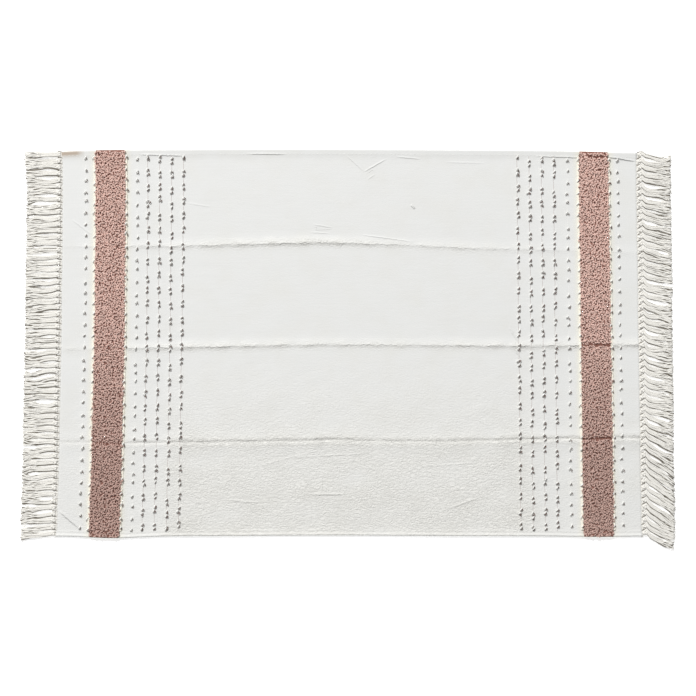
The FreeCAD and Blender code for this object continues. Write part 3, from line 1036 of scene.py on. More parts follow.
def make_yarn_material(
    name, pale, dark, share, turn=0.006, plies=2.0, depth=0.00018, tone=0.3, gap=0.45, front_shade=0.0
):
    """Plied yarn: a pale ply and a darker one, blurred together by fuzz, with grooves between them.

    share is how dark the second ply is, tone how much the colour varies from yarn to yarn, gap how
    dark the painted shade in the grooves is and front_shade how much painted shade darkens the mat's
    front half, all from 0 to 1.
    """
    material, tree, shader = start_material(name, sheen=0.05)
    place = add_node(tree, "ShaderNodeUVMap", uv_map="Along").outputs[0]
    coords = add_node(tree, "ShaderNodeTexCoord").outputs["Object"]
    twist = use_group(
        tree, effect_group("Yarn Twist", make_twist_group),
        {"Vector": place, "Turn Length": turn, "Plies": plies},
    )
    fuzz = use_group(
        tree, effect_group("Cotton Fuzz", make_fuzz_group), {"Vector": coords, "Scale": 1600.0}
    )
    marl = compute(tree, "MULTIPLY", twist.outputs["Ply"], share)
    base = blend_colours(tree, marl, pale, dark)
    spotted = map_range(tree, noise(tree, coords, 160.0, 1.0), 0.35, 0.70, to_high=tone)
    base = blend_colours(tree, spotted, base, darker(pale, 0.72))
    # Painted shade: the colour darkens towards the mat's front half.
    if front_shade:
        _, across, _ = separate(tree, coords)
        front = map_range(tree, across, 0.10, -0.22, to_high=front_shade, smooth=True)
        base = blend_colours(tree, front, base, darker(dark, 0.55))
    # Painted shade in the grooves between the plies.
    groove = map_range(tree, twist.outputs["Height"], 0.5, 0.0, to_high=gap)
    base = blend_colours(tree, groove, base, darker(pale, 0.5))
    tree.links.new(base, shader.inputs["Base Color"])
    height = compute(tree, "MULTIPLY_ADD", fuzz.outputs["Height"], 0.4, twist.outputs["Height"])
    connect_bump(tree, shader, height, depth)
    return material


def make_backing_material():
    """The ground of a pile band, painted as shade: a dark reddish brown, darker still between the loops'
    feet.
    """
    finishes = bpy.context.scene.mat_finishes
    material, tree, shader = start_material("Pile ground")
    coords = add_node(tree, "ShaderNodeTexCoord").outputs["Object"]
    spots = add_node(tree, "ShaderNodeTexVoronoi", {"Vector": coords, "Scale": 330.0})
    dark = darker(finishes.pile_ground_shade, 0.6)
    base = blend_colours(tree, spots.outputs["Distance"], finishes.pile_ground_shade, dark)
    tree.links.new(base, shader.inputs["Base Color"])
    connect_bump(tree, shader, spots.outputs["Distance"], 0.0006)
    return material


def finish(name, maker, *details, **more):
    """A material by name, made the first time that it's asked for."""
    return bpy.data.materials.get(name) or maker(*details, **more)


def cloth_finish():
    """The woven cloth's material."""
    return finish("Woven cotton", make_cloth_material)


# Each yarn: its pale colour, its dark ply's colour and the share it's brought down to, how strongly the
# dark ply shows, and what else make_yarn_material takes.
YARNS = {
    "Pile yarn": ("pile", "pile_shade", 1.0, 0.5, {"turn": 0.0045, "tone": 0.5, "gap": 0.4, "front_shade": 0.49}),
    "Loop yarn": ("loop", "loop", 0.9, 0.5, {"turn": 0.005, "tone": 0.05, "gap": 0.15}),
    "Dark loop yarn": ("loop_shade", "loop_rose", 1.0, 0.45, {"turn": 0.05, "tone": 0.5, "gap": 0.4}),
    "Cream yarn": ("rim", "rim", 0.92, 0.5, {"turn": 0.005, "tone": 0.1, "gap": 0.2}),
    "Row thread": ("thread", "thread", 0.8, 0.5, {"turn": 0.003}),
    "Fringe yarn": ("fringe", "fringe", 0.93, 0.6, {"turn": 0.005, "tone": 0.10, "gap": 0.18}),
    # Painted shadow: the grey yarns inside the tassels and between the knots.
    "Grey fringe yarn": ("grey_fringe", "grey_fringe", 0.7, 0.5, {"turn": 0.006, "tone": 0.6, "gap": 0.4}),
    "Sewing thread": ("loop", "loop", 0.8, 0.5, {"turn": 0.0012, "depth": 0.00005}),
}


def yarn_finish(name):
    """The material of a yarn that YARNS lists."""
    pale, dark, brought_down, share, more = YARNS[name]
    colours = bpy.context.scene.mat_finishes
    dark_ply = darker(getattr(colours, dark), brought_down)
    return finish(name, make_yarn_material, name, getattr(colours, pale), dark_ply, share, **more)


# Pieces


class BATHMAT_OT_cloth(Operator):
    """Weave the cloth: one sheet, raised onto the hems and rounded over at the long edges"""

    bl_idname = "bathmat.cloth"
    bl_label = "Cloth"

    def execute(self, context):
        cloth = context.scene.mat_cloth
        nose = CLOTH_THICK
        turn = np.linspace(0, math.pi / 2, 5)[1:]
        across = self.steps_across(cloth, HALF_WIDTH - nose)
        nose_y = HALF_WIDTH - nose + nose * np.sin(turn)
        front, back = (hem_lift(side * HALF_WIDTH) + nose * np.cos(turn) for side in (-1, 1))
        top_y = np.concatenate((-nose_y[::-1], across, nose_y))
        top_z = np.concatenate((front[::-1], cloth_top(across), back))
        top = np.stack((top_y, top_z), axis=1)
        under_y = top_y[::4]
        under_z = hem_lift(under_y)
        places = np.linspace(-HALF_LENGTH, HALF_LENGTH, round(2 * HALF_LENGTH / cloth.step_along) + 1)
        part = swept_outline(top, np.stack((under_y, under_z), axis=1), places, lay)
        piece = add_piece(
            "ground_cloth_sheet", [(0, part)], [cloth_finish()], "mat", ["ground_cloth"]
        )
        self.note_creases(piece.data)
        return {"FINISHED"}

    def steps_across(self, cloth, reach):
        """Places across the mat, closer together at the folds and hems.

        Their number is a multiple of 4, plus 1, because the underside has every fourth.
        """
        fine = np.linspace(-reach, reach, 6001)
        wanted = np.full(len(fine), 1 / cloth.step_across)
        spots = [HALF_WIDTH * np.mean(crests) for _, crests, _ in FOLDS] + [-SEAM, SEAM]
        for spot in spots:
            wanted = np.where(np.abs(fine - spot) < 0.006, 1 / cloth.fine_step, wanted)
        total = np.concatenate(([0], np.cumsum(wanted[1:]) * (fine[1] - fine[0])))
        count = 4 * round(total[-1] / 4)
        return np.interp(np.linspace(0, total[-1], count + 1), total, fine)

    def note_creases(self, mesh):
        """Gives the cloth's points the creasing that their finish reads."""
        places = np.empty(len(mesh.loops) * 2, dtype=np.float32)
        mesh.uv_layers["Along"].data.foreach_get("uv", places)
        x, y = places.reshape(-1, 2).astype(float).T
        for name, values in (("Creasing", creasing(x, y)), ("Wrinkling", wrinkling(x, y))):
            notes = mesh.attributes.new(name, "FLOAT_VECTOR", "CORNER")
            notes.data.foreach_set("vector", values.astype(np.float32).ravel())


class BATHMAT_OT_hems(Operator):
    """Turn under and stitch both hems: the folded edge below, and a row of stitches on the cloth"""

    bl_idname = "bathmat.hems"
    bl_label = "Hems"

    def execute(self, context):
        cloth = context.scene.mat_cloth
        places = np.linspace(-HALF_LENGTH, HALF_LENGTH, round(HALF_LENGTH / cloth.step_along) + 1)
        turn = np.linspace(0, math.pi / 2, 5)
        round_y = HALF_WIDTH - HEM_THICK + HEM_THICK * np.cos(turn)
        round_z = HEM_THICK - HEM_THICK * np.sin(turn)
        inner = np.linspace(HALF_WIDTH - HEM_THICK, HEM_START, 5)[1:]
        under_y = np.concatenate((round_y, inner))
        under_z = np.concatenate((round_z, np.zeros(len(inner))))
        clearance, thinnest = 0.00004, 0.0003
        for name, side in LONG_EDGES:
            over_z = np.maximum(hem_lift(side * under_y) - clearance, thinnest)
            over = np.stack((under_y, over_z), axis=1)
            under = np.stack((under_y, under_z * hem_lift(side * HALF_WIDTH) / HEM_THICK), axis=1)
            part = swept_outline(over * (side, 1), under * (side, 1), places, lay)
            add_piece(
                f"{name}_hem_fold", [(0, part)], [cloth_finish()], "mat", [f"{name}_hem"]
            )
            self.stitch(name, side)
        self.declare_sheet()
        return {"FINISHED"}

    def declare_sheet(self):
        """Does nothing: the cloth's cut size, its width with both turned-under edges and its length, is not
        noted.
        """

    def stitch(self, name, side):
        """A row of short threads, each half a sine wave long that sinks into the cloth at both ends."""
        low, high = corners(f"{name}_hem_stitching")
        draw = np.random.default_rng(STITCH_SEED + side)
        pitch, length, radius = 0.006, 0.0038, 0.00032
        sunk, rise = 0.0006, 0.0007
        starts = np.arange(low[0], high[0] - length / 2, pitch)[:, None]
        share = np.linspace(0, 1, 6)[None]
        paths = np.zeros((len(starts), 6, 3))
        paths[..., 0] = starts + length * share
        middle = side * abs(low[1] + high[1]) / 2
        paths[..., 1] = middle + draw.normal(0, 0.00012, (len(starts), 1))
        paths[..., 2] = cloth_top(paths[..., 1]) - sunk + rise * np.sin(math.pi * share)
        part = tubes(lay(paths), radius, 5)
        add_piece(
            f"{name}_hem_stitches", [(0, part)], [yarn_finish("Sewing thread")], "mat",
            [f"{name}_hem_stitching"],
        )


def pressed_by_seam(x, y):
    """How far a hem's seam pulls the pile down, from 0 to 1: most at the right end's back hem."""
    pull, width = np.where((x > 0) & (y > 0), 1.0, 0.6), 0.0018
    return pull * np.exp(-(((np.abs(y) - SEAM) / width) ** 2))


def parted_by_folds(x, y):
    """How far the storage folds part the pile, from 0 to 1."""
    width = 0.0020
    parted = np.zeros_like(x)
    for number in range(len(FOLDS)):
        away = y - fold_crest(x, number)
        parted += 1.5 * np.abs(fold_strength(x, number)) * np.exp(-((away / width) ** 2))
    return np.clip(parted, 0, 1)


class BATHMAT_OT_pile_bands(Operator):
    """Loop the two pile bands: thousands of small arches of yarn on a ground painted dark as shade"""

    bl_idname = "bathmat.pile_bands"
    bl_label = "Pile bands"

    def execute(self, context):
        for number, (name, _) in enumerate(ENDS):
            low, high = corners(f"{name}_pile_band")
            draw = np.random.default_rng(PILE_SEED + number)
            parts = self.loops(context, draw, low, high) + [(1, self.ground(low, high))]
            materials = [yarn_finish("Pile yarn"), finish("Pile ground", make_backing_material)]
            add_piece(f"{name}_pile_loops", parts, materials, "mat", [f"{name}_pile_band"])
        return {"FINISHED"}

    def loops(self, context, draw, low, high):
        """Arches on a jittered grid, in two parts: those that stand, and those sunk in folds and seams.

        An arch runs base + w cos(a) d + h sin(a)^0.75 (up + lean), a from 0 to half a turn, where d is
        its direction in the cloth's plane, and lean tips it over sideways.
        """
        pile = context.scene.mat_pile
        margin = 0.5 * pile.pitch
        front_gap, back_gap = 0.0034, 0.0026
        columns = np.arange(low[0] + 0.6 * margin, high[0] - margin / 3, pile.pitch)
        rows = np.arange(-HALF_WIDTH + front_gap, HALF_WIDTH - back_gap, pile.pitch)
        x, y = (grid.ravel() for grid in np.meshgrid(columns, rows))
        stagger, jitter = 0.6, 0.42
        x = x + np.where(np.arange(len(x)) // len(columns) % 2, 0.5, 0) * pile.pitch * stagger
        x = x + draw.uniform(-jitter, jitter, len(x)) * pile.pitch
        y = y + draw.uniform(-jitter, jitter, len(y)) * pile.pitch
        left_gap, right_gap = 0.0009, 0.0006
        x = np.clip(x, low[0] + left_gap, high[0] - right_gap)
        yaw = draw.uniform(0, math.pi, len(x))
        half = draw.uniform(0.42, 0.75, len(x)) * pile.pitch
        height = pile.loop_height * draw.uniform(0.72, 1.12, len(x))
        parted = np.maximum(parted_by_folds(x, y), pressed_by_seam(x, y))
        height = height * (1 - 0.8 * parted)
        lean = draw.normal(0, 0.34, (len(x), 2))
        angle = np.linspace(0, math.pi, 5)[None]
        rise = np.sin(angle) ** 0.75 * height[:, None]
        paths = np.empty((len(x), angle.shape[1], 3))
        reach = half[:, None] * np.cos(angle)
        paths[..., 0] = x[:, None] + reach * np.cos(yaw)[:, None] + rise * lean[:, :1]
        paths[..., 1] = y[:, None] + reach * np.sin(yaw)[:, None] + rise * lean[:, 1:]
        over_edge, droop, inset = 0.003, 0.0035, 0.001
        over = np.clip((np.abs(paths[..., 1]) - HALF_WIDTH) / over_edge, 0, 1)
        top = cloth_top(np.clip(paths[..., 1], -HALF_WIDTH + inset, HALF_WIDTH - inset))
        foot = 0.0003
        paths[..., 2] = top + foot + rise - droop * over
        flat_normal = np.stack((-np.sin(yaw), np.cos(yaw), np.zeros(len(x))), axis=1)[:, None, :]
        radii = pile.yarn_radius * draw.uniform(0.85, 1.15, (len(x), 1))
        sunk = parted > draw.uniform(0.45, 0.75, len(x))
        # The sunk loops take the ground's material: painted shade in the folds and along the seams.
        return [
            (slot, tubes(lay(paths[some]), radii[some], 4, flat_normal[some]))
            for slot, some in enumerate((~sunk, sunk))
        ]

    def ground(self, low, high):
        """The strip under the loops: a low, closed layer that follows the cloth."""
        edge_inset, end_inset, rise, sunk = 0.0009, 0.0008, 0.0011, 0.0002
        y = np.linspace(-HALF_WIDTH + edge_inset, HALF_WIDTH - edge_inset, 241)
        top = np.stack((y, cloth_top(y) + rise), axis=1)
        bottom = np.stack((y, cloth_top(y) - sunk), axis=1)
        places = np.linspace(low[0] + end_inset, high[0] - end_inset, 14)
        return swept_outline(top, bottom, places, lay)


def arches(x, y, yaw, lean, width, height, steps=9):
    """Loop centrelines, and the direction square to each loop's plane.

    Each runs from foot to foot as an arch pinched at its feet:
    base + w / 2 (cos a - 0.30 cos 3a) d + h sin(a)^0.8 (up + lean), with d set by yaw.
    """
    angle = np.linspace(0, math.pi, steps)[None]
    sway = 0.5 * width[:, None] * (np.cos(angle) - 0.30 * np.cos(3 * angle))
    rise = height[:, None] * np.sin(angle) ** 0.8
    paths = np.empty((len(x), steps, 3))
    paths[..., 0] = x[:, None] + sway * np.cos(yaw)[:, None] + rise * lean[:, :1]
    paths[..., 1] = y[:, None] + sway * np.sin(yaw)[:, None] + rise * lean[:, 1:]
    paths[..., 2] = cloth_top(y)[:, None] - 0.0004 + rise
    square = np.stack((-np.sin(yaw), np.cos(yaw), np.zeros(len(x))), axis=1)[:, None, :]
    return paths, square


class BATHMAT_OT_loop_rows(Operator):
    """Pull up the loop rows: a thread across the mat with single loops, or loops in pairs"""

    bl_idname = "bathmat.loop_rows"
    bl_label = "Loop rows"

    def execute(self, context):
        for end_number, (name, _) in enumerate(ENDS):
            for row_number, row in enumerate(SINGLE_ROWS + DOUBLE_ROWS):
                draw = np.random.default_rng(ROW_SEED + 20 * end_number + row_number)
                self.make_row(context, f"{name}_{row}", row in DOUBLE_ROWS, draw)
        return {"FINISHED"}

    def make_row(self, context, node, in_pairs, draw):
        """One row's piece: its loops, and its thread, which shows only in the double rows.

        A loop's dark strand is smaller and thinner than its pale one, most of all in a single row. It is
        partly real dark yarn and partly painted shadow, set beside the pale loop on the side away from the
        key light.
        """
        loops = context.scene.mat_loops
        low, high = corners(node)
        middle = (low[0] + high[0]) / 2
        pitch = loops.pair_pitch if in_pairs else loops.single_pitch
        end_gap = 0.003
        reach = high[1] - end_gap
        first = draw.uniform(0, 0.4) * pitch
        y = np.arange(-reach + first, reach, pitch)
        y = y + draw.normal(0, loops.stray, len(y))
        if in_pairs:
            y = np.concatenate((y - loops.pair_gap / 2, y + loops.pair_gap / 2))
        y = np.clip(y, -reach, reach)
        outwards = self.outwards(node, middle)
        x = middle + 2.2 * outwards * loops.rim_offset + draw.normal(0, 0.0005, len(y))
        yaw = loops.turn + draw.normal(0, 0.16, len(y))
        lean = draw.normal(0, 0.14, (len(y), 2)) + (-0.12, 0.12)
        width = loops.width * draw.uniform(0.85, 1.2, len(y))
        height = loops.height * draw.uniform(0.8, 1.1, len(y))
        radii = loops.yarn_radius * draw.uniform(0.9, 1.1, (len(y), 1))
        pale, square = arches(x, y, yaw, lean, width, height)
        # The dark strand, partly real dark yarn and partly painted shadow, lies beside the pale loop, away
        # from the light.
        aside = loops.strand_gap * draw.uniform(0.8, 1.2, len(y))
        dark_x, dark_y = x + aside * np.sin(yaw), y - aside * np.cos(yaw)
        size = draw.uniform(0.35, 0.8, len(y)) * (1.0 if in_pairs else 0.8)
        thin = 0.70 if in_pairs or outwards else 0.46
        dark_yaw = yaw + draw.normal(0, 0.15, len(y))
        dark, dark_square = arches(dark_x, dark_y, dark_yaw, -lean, size * width, 0.8 * height)
        parts = [
            (0, tubes(lay(pale), radii, 6, square)),
            (1, tubes(lay(dark), thin * radii, 6, dark_square)),
            (2, self.thread(middle, high[1], in_pairs, draw)),
        ]
        if outwards:
            parts.append((3, self.rim(context, middle, outwards, high[1], draw)))
        thread = "Row thread" if in_pairs else "Sewing thread"
        materials = [yarn_finish(yarn) for yarn in ("Loop yarn", "Dark loop yarn", thread, "Cream yarn")]
        add_piece(f"{node}_loops", parts, materials, "mat", [node])

    def outwards(self, node, middle):
        """Which way along X leads away from the pile band, for an edging row, and 0 for any other row."""
        if "edging" not in node:
            return 0
        low, high = corners("left_pile_band" if middle < 0 else "right_pile_band")
        return -1 if middle < (low[0] + high[0]) / 2 else 1

    def rim(self, context, middle, outwards, reach, draw):
        """The two thick cream yarns along a pile band's edge, side by side in small waves."""
        loops = context.scene.mat_loops
        ripple = 0.0085
        y = np.linspace(-reach + 0.002, reach - 0.002, 420)
        seeds = draw.integers(1000, size=3)
        path = np.empty((2, len(y), 3))
        strand = np.array((-0.5, 0.5))[:, None] * 1.5 * loops.rim_radius
        sway = 0.0004 * np.stack([wander(y, seed, ripple) for seed in seeds[:2]])
        path[..., 0] = middle + outwards * loops.rim_offset + strand + sway
        path[..., 1] = y
        path[..., 2] = cloth_top(y) + 0.6 * loops.rim_radius + 0.0003 * wander(y, seeds[2], ripple)
        return tubes(lay(path), loops.rim_radius, 7)

    def thread(self, middle, reach, in_pairs, draw):
        """The row's thread: it lies on the cloth in a double row, and nearly inside it in a single row."""
        y = np.linspace(-reach, reach, 260)
        path = np.empty((1, len(y), 3))
        path[..., 0] = middle + 0.0004 * wander(y, int(draw.integers(1000)), 0.03)
        path[..., 1] = y
        sunk = 0.00010 if in_pairs else 0.00030
        path[..., 2] = cloth_top(y) - sunk + 0.00012 * wander(y, int(draw.integers(1000)), 0.009)
        radius = 0.00038
        return tubes(lay(path), radius, 5)


def fringe_finishes():
    """The materials of knots and tassels: the pale yarns' first, and then the grey ones', which are painted
    shadow.
    """
    return [yarn_finish("Fringe yarn"), yarn_finish("Grey fringe yarn")]


def fringe_slope(share, side, draw):
    """The sideways slope of each tassel, from the back edge (share 0) to the front edge (share 1).

    All lean towards the front: a little at the left end, and at the right end more and more up to
    near the front corner, where the lean eases off.
    """
    stray = 0.045 * wander(share, int(draw.integers(1000)), 0.22) + draw.normal(0, 0.03, len(share))
    if side < 0:
        return -0.06 - 0.03 * smooth_step(share, 0.55, 1.0) + stray
    steep = 0.38 * smooth_step(share, 0.66, 0.82) - 0.22 * smooth_step(share, 0.90, 1.0)
    return -0.12 - 0.14 * smooth_step(share, 0.02, 0.18) - steep + 0.6 * stray


def knot_drift(side):
    """How far the knots of an end lie behind the middles of their tassels' warp ends."""
    return 0.0014 if side > 0 else 0.0004


def tassel_places(group):
    """Y of the tassels of a group, as the CAD nodes number them, and their share from back to front."""
    first = (group - 1) * TASSELS_IN_GROUP + 0.5
    y = -HALF_WIDTH + TASSEL_PITCH * (first + np.arange(TASSELS_IN_GROUP))
    return y, (HALF_WIDTH - y) / (2 * HALF_WIDTH)


class BATHMAT_OT_knots(Operator):
    """Tie the knots: each an overhand knot, with the gathered warp ends that run into it"""

    bl_idname = "bathmat.knots"
    bl_label = "Knots"

    def execute(self, context):
        for end_number, (name, side) in enumerate(ENDS):
            for group in GROUPS:
                draw = np.random.default_rng(KNOT_SEED + 10 * end_number + group)
                y, _ = tassel_places(group)
                parts = [
                    (0, self.ties(context, y, side, draw)),
                    (0, self.necks(y, side, draw)),
                    # The grey warp ends between the knots are painted shadow.
                    (1, self.between(y, side, draw)),
                ]
                add_piece(
                    f"{name}_knot_ties_{group}", parts, fringe_finishes(),
                    "mat", [f"{name}_knots_{group}"],
                )
        return {"FINISHED"}

    def ties(self, context, y, side, draw):
        """Overhand knots, each the curve (sin t + 2 sin 2t, cos t - 2 cos 2t, -sin 3t), squashed."""
        radius = context.scene.mat_fringe.knot_yarn_radius
        angle = np.linspace(0, 2 * math.pi, 25)[None]
        size = draw.uniform(0.9, 1.1, (len(y), 1))
        flat_x = np.sin(angle) + 2 * np.sin(2 * angle)
        flat_y = np.cos(angle) - 2 * np.cos(2 * angle)
        turn = draw.uniform(-0.5, 0.5, (len(y), 1)) + (0.5 if side > 0 else 0.0)
        paths = np.empty((len(y), angle.shape[1], 3))
        along, across, up = 0.00088, 0.00096, 0.0011
        turned_x = flat_x * np.cos(turn) - flat_y * np.sin(turn)
        turned_y = flat_x * np.sin(turn) + flat_y * np.cos(turn)
        paths[..., 0] = side * HINGE_X + along * size * turned_x
        paths[..., 1] = y[:, None] + knot_drift(side) + across * size * turned_y
        paths[..., 2] = HINGE_Z - up * size * np.sin(3 * angle)
        return tubes(lay(paths), radius * size, 6)

    def necks(self, y, side, draw):
        """Warp ends that fan in from the cloth's end to the knot, five to a knot."""
        fan = np.linspace(-0.42, 0.42, 5) * TASSEL_PITCH
        share = np.linspace(0, 1, 6)
        radius = 0.00105
        start = HALF_LENGTH - 0.0015
        paths = np.empty((len(y), len(fan), len(share), 3))
        paths[..., 0] = side * (start + (HINGE_X - start) * share)
        spread = 1 - 0.85 * smooth_step(share, 0.1, 1.0)
        paths[..., 1] = y[:, None, None] + knot_drift(side) * (2 * share - 1) + fan[:, None] * spread
        paths[..., 2] = CLOTH_THICK - 0.0007 + (HINGE_Z - CLOTH_THICK + 0.0004) * share
        paths[..., 2] += draw.uniform(-0.0003, 0.0003, (len(y), len(fan), 1))
        return tubes(lay(paths.reshape(-1, len(share), 3)), radius, 5)

    def between(self, y, side, draw):
        """One grey warp end between each knot and the next, straight out from the cloth and arched, as a
        painted shadow line between the knots.
        """
        share = np.linspace(0, 1, 6)
        radius, arch = 0.00075, 0.0006
        start, end = HALF_LENGTH - 0.0010, HINGE_X + 0.0020
        paths = np.empty((len(y), len(share), 3))
        paths[..., 0] = side * (start + (end - start) * share)
        aside = (0.5 + draw.normal(0, 0.05, (len(y), 1))) * TASSEL_PITCH
        paths[..., 1] = y[:, None] + aside + knot_drift(side) * (2.4 * share - 1)
        level = CLOTH_THICK - 0.0004 + (HINGE_Z - CLOTH_THICK) * share
        paths[..., 2] = level + arch * np.sin(math.pi * share)
        return tubes(lay(paths), radius, 5)


class BATHMAT_OT_tassels(Operator):
    """Comb out the tassels: loose yarns that leave each knot together and wander to the cut tips"""

    bl_idname = "bathmat.tassels"
    bl_label = "Tassels"

    def execute(self, context):
        for end_number, (name, side) in enumerate(ENDS):
            slope_draw = np.random.default_rng(SLOPE_SEED + end_number)
            order = np.arange(TASSELS_IN_GROUP * len(GROUPS))
            shares = (order + 0.5) / len(order)
            slopes = fringe_slope(shares, side, slope_draw)[::-1]
            for group in GROUPS:
                draw = np.random.default_rng(TASSEL_SEED + 10 * end_number + group)
                some = slopes[(group - 1) * TASSELS_IN_GROUP : group * TASSELS_IN_GROUP]
                parts = self.yarns(context, group, side, some, draw)
                add_piece(
                    f"{name}_tassel_yarns_{group}", parts, fringe_finishes(),
                    f"{name}_fringe", [f"{name}_tassels_{group}"],
                    bend_zone=self.bend_zone(group, side),
                )
        return {"FINISHED"}

    def bend_zone(self, group, side):
        """Two points, from just past a group's knots to a short way on, that add_piece takes as a bend zone
        and doesn't use.
        """
        clearance, stretch = 0.0006, 0.007
        y, _ = tassel_places(group)
        knots = np.stack((np.full_like(y, side * HINGE_X), y, np.full_like(y, HINGE_Z)), axis=1)
        past = float((side * lay(knots)[:, 0]).max()) + clearance
        return (side * past, 0.0, HINGE_Z), (side * (past + stretch), 0.0, HINGE_Z)

    def bundle(self, pale, grey):
        """Where a tassel's yarns lie in its bundle: across it, about -1 to 1, and up it, 0 to 1.

        The grey ones, painted shadow of the tassel's core, come first, in the middle, then pale ones above
        them, and pale ones below.
        """
        rows = ((-1.15, 0.65, 0.5, grey), (-0.8, 0.8, 1.0, pale - grey), (-1.0, 0.9, 0.0, grey))
        across = [np.linspace(first, last, count) for first, last, _, count in rows]
        up = [np.full(count, height) for _, _, height, count in rows]
        return np.concatenate(across), np.concatenate(up)

    def lengths(self, shares, side, count, draw):
        """How far each yarn reaches past its knot.

        The tassels are longer at the left end's back corner, and shorter at the right end's front one.
        """
        trim, uneven = 0.0014 if side < 0 else 0.0008, 0.0009
        reach = TIP_X - HINGE_X + draw.normal(-trim, uneven, (len(shares), count, 1))
        if side < 0:
            corner = 0.0032 * smooth_step(0.10 - shares, 0.0, 0.08)
        else:
            corner = -0.0022 * smooth_step(shares, 0.93, 1.0)
        return reach + corner[:, None, None]

    def guide(self, slopes, shares, side, share, out):
        """How far aside a tassel's middle line lies: slope * way out, and at the right end a hook.

        The hook is a bell of the share of the length, just past the knot, and the line there is
        steeper near the knot than at the tip.
        """
        line = slopes[:, None, None] * out
        if side < 0:
            return line
        hook = 0.0036 * np.exp(-(((share - 0.07) / 0.075) ** 2))
        steeper = 0.38 * (1 - smooth_step(shares, 0.6, 0.8))[:, None, None]
        return line * (1 + steeper * (0.5 - share)) + hook - 0.0010 * smooth_step(share, 0.0, 0.1)

    def yarns(self, context, group, side, slopes, draw):
        """The yarns of a group of tassels.

        A yarn at share s of its length lies at the tassel's guide line, slope * run plus a short
        hook near the knot, offset by its own place in the bundle, which opens as s grows, and by
        a seeded wave. It starts in the middle of the knot and comes down to the floor. The yarns lie
        in three layers, with the grey ones, painted shadow of the tassel's core, in the middle.
        """
        fringe = context.scene.mat_fringe
        y, shares = tassel_places(group)
        steps = 19
        share = np.linspace(0, 1, steps)
        place, layer = (values[None, :, None] for values in self.bundle(fringe.yarns, fringe.shadow_yarns))
        count = place.shape[1]
        place = place + draw.normal(0, 0.10, (len(y), count, 1))
        out = self.lengths(shares, side, count, draw) * share
        bow, curl = 0.0013, 0.0008
        bend = draw.normal(0, bow, (len(y), 1, 1)) * np.sin(math.pi * share)
        bend = bend + draw.normal(0, curl, (len(y), 1, 1)) * np.sin(2 * math.pi * share)
        opening = fringe.root + (fringe.spread - fringe.root) * smooth_step(share, 0.25, 1.0)
        opening = 0.5 * opening * draw.uniform(0.86, 1.04, (len(y), 1, 1))
        phase = draw.uniform(0, 2 * math.pi, (len(y), count, 1))
        pitch = draw.uniform(0.7, 1.5, (len(y), count, 1))
        loose, wave_size, ripple_size = smooth_step(share, 0.15, 0.9), 0.0013, 0.0004
        wave = wave_size * loose * np.sin(2 * math.pi * pitch * share + phase)
        wave = wave + ripple_size * loose * np.sin(2 * math.pi * 3.1 * pitch * share + 1.7 * phase)
        aside = self.guide(slopes, shares, side, share, out) + bend + place * opening + wave
        paths = np.empty((len(y), count, steps, 3))
        paths[..., 0] = side * (HINGE_X + out)
        paths[..., 1] = y[:, None, None] + knot_drift(side) + aside
        low, pile_up, lift = fringe.yarn_radius + 0.0001, 0.0016, 0.0003
        rest = low + pile_up * layer + lift * (1 + np.sin(2 * math.pi * 1.3 * pitch * share + phase))
        start = HINGE_Z + 0.0013 * (layer - 0.4)
        paths[..., 2] = start + (rest - start) * smooth_step(share, 0.10, 0.75)
        thickness = fringe.yarn_radius * draw.uniform(0.8, 1.2, (len(y), count, 1))
        thickness = thickness * (1 + 0.12 * np.sin(9 * share + phase))
        parts = []
        grey = fringe.shadow_yarns
        for slot, some in enumerate((slice(grey, None), slice(0, grey))):
            laid = lay(paths[:, some].reshape(-1, steps, 3), loft=0.6)
            finer = 0.9 if slot else 1.0
            parts.append((slot, tubes(laid, finer * thickness[:, some].reshape(-1, steps), 5)))
        return parts


# Stage


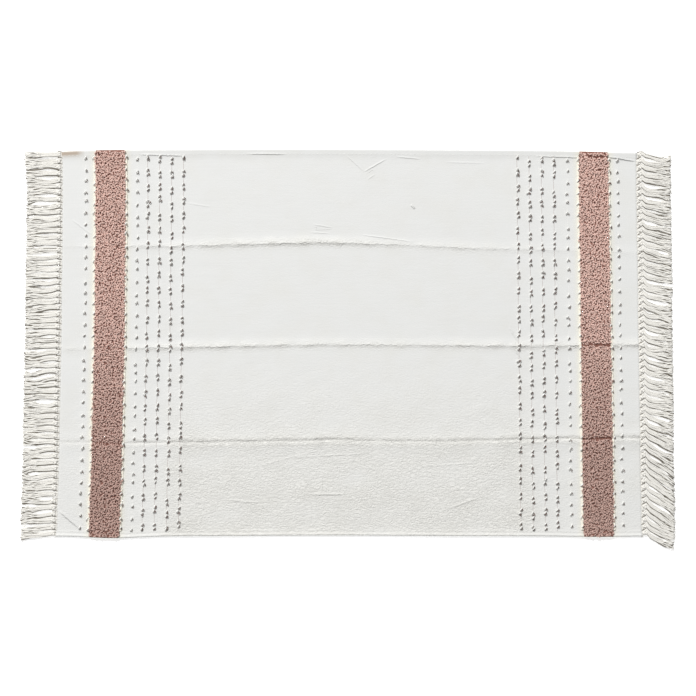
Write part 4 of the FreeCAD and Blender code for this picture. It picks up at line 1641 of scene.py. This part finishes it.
class BATHMAT_OT_stage(Operator):
    """Set the floor, the lights and the camera, which looks almost straight down"""

    bl_idname = "bathmat.stage"
    bl_label = "Stage"

    def execute(self, context):
        settings = context.scene.mat_stage
        self.add_floor(context)
        self.add_lights(context, settings)
        self.add_camera(context, settings)
        context.scene.view_settings.view_transform = "Standard"
        return {"FINISHED"}

    def add_floor(self, context):
        """A wide pale floor just under the mat."""
        mesh = bpy.data.meshes.new("floor")
        reach, level = 30.0, -0.0002
        square = ((-1, -1), (1, -1), (1, 1), (-1, 1))
        mesh.from_pydata([(reach * x, reach * y, level) for x, y in square], [], [(0, 1, 2, 3)])
        material, _, shader = start_material("Floor", roughness=0.9)
        shader.inputs["Base Color"].default_value = (*context.scene.mat_finishes.floor, 1)
        shader.inputs["Emission Color"].default_value = (1, 1, 1, 1)
        shader.inputs["Emission Strength"].default_value = context.scene.mat_stage.floor_glow
        add_object("floor", mesh, [material])

    def add_lights(self, context, settings):
        """A soft key light from the back left, and even light from all round."""
        lamp = bpy.data.lights.new("Key", "AREA")
        lamp.energy, lamp.size = settings.key_power, settings.key_size
        key = bpy.data.objects.new("Key", lamp)
        away = settings.key_distance * math.cos(settings.key_height)
        up = settings.key_distance * math.sin(settings.key_height)
        key.location = (-away * math.sin(settings.key_side), away * math.cos(settings.key_side), up)
        key.rotation_euler = (settings.key_height - math.pi / 2, 0, settings.key_side)
        context.scene.collection.objects.link(key)
        world = bpy.data.worlds.new("Studio")
        world.use_nodes = True
        world.node_tree.nodes["Background"].inputs["Color"].default_value = (1, 1, 1, 1)
        world.node_tree.nodes["Background"].inputs["Strength"].default_value = settings.fill
        context.scene.world = world

    def add_camera(self, context, settings):
        """The camera, far enough away that its lens takes in the view's width at the mat."""
        lens = bpy.data.cameras.new("Camera")
        lens.lens = settings.lens
        lens.sensor_width = 36.0
        distance = settings.view_width * settings.lens / lens.sensor_width
        camera = bpy.data.objects.new("Camera", lens)
        camera.location = (
            0.0,
            -settings.view_drop - distance * math.sin(settings.tilt),
            distance * math.cos(settings.tilt),
        )
        camera.rotation_euler = (settings.tilt, 0, 0)
        context.scene.collection.objects.link(camera)
        context.scene.camera = camera


class VIEW3D_PT_bath_mat(Panel):
    """The mat's settings and the steps that build it"""

    bl_label = "Bath Mat"
    bl_space_type = "VIEW_3D"
    bl_region_type = "UI"
    bl_category = "Bath Mat"

    def draw(self, context):
        for name in SETTINGS:
            group = getattr(context.scene, name)
            box = self.layout.box()
            for prop in group.bl_rna.properties:
                if prop.identifier not in {"rna_type", "name"}:
                    box.prop(group, prop.identifier)
        for operator in OPERATORS:
            self.layout.operator(operator.bl_idname)


SETTINGS = {
    "mat_cloth": ClothSettings,
    "mat_pile": PileSettings,
    "mat_loops": LoopSettings,
    "mat_fringe": FringeSettings,
    "mat_finishes": Finishes,
    "mat_stage": StageSettings,
}
OPERATORS = (
    BATHMAT_OT_cloth,
    BATHMAT_OT_hems,
    BATHMAT_OT_pile_bands,
    BATHMAT_OT_loop_rows,
    BATHMAT_OT_knots,
    BATHMAT_OT_tassels,
    BATHMAT_OT_stage,
)
CLASSES = (*SETTINGS.values(), *OPERATORS, VIEW3D_PT_bath_mat)


def register():
    for cls in CLASSES:
        bpy.utils.register_class(cls)
    for name, group in SETTINGS.items():
        setattr(bpy.types.Scene, name, PointerProperty(type=group))


def unregister():
    for name in SETTINGS:
        delattr(bpy.types.Scene, name)
    for cls in reversed(CLASSES):
        bpy.utils.unregister_class(cls)


def main():
    """Registers the add-on and builds every piece and the stage."""
    register()
    for operator in OPERATORS:
        category, name = operator.bl_idname.split(".")
        getattr(getattr(bpy.ops, category), name)()


if __name__ == "__main__":
    main()
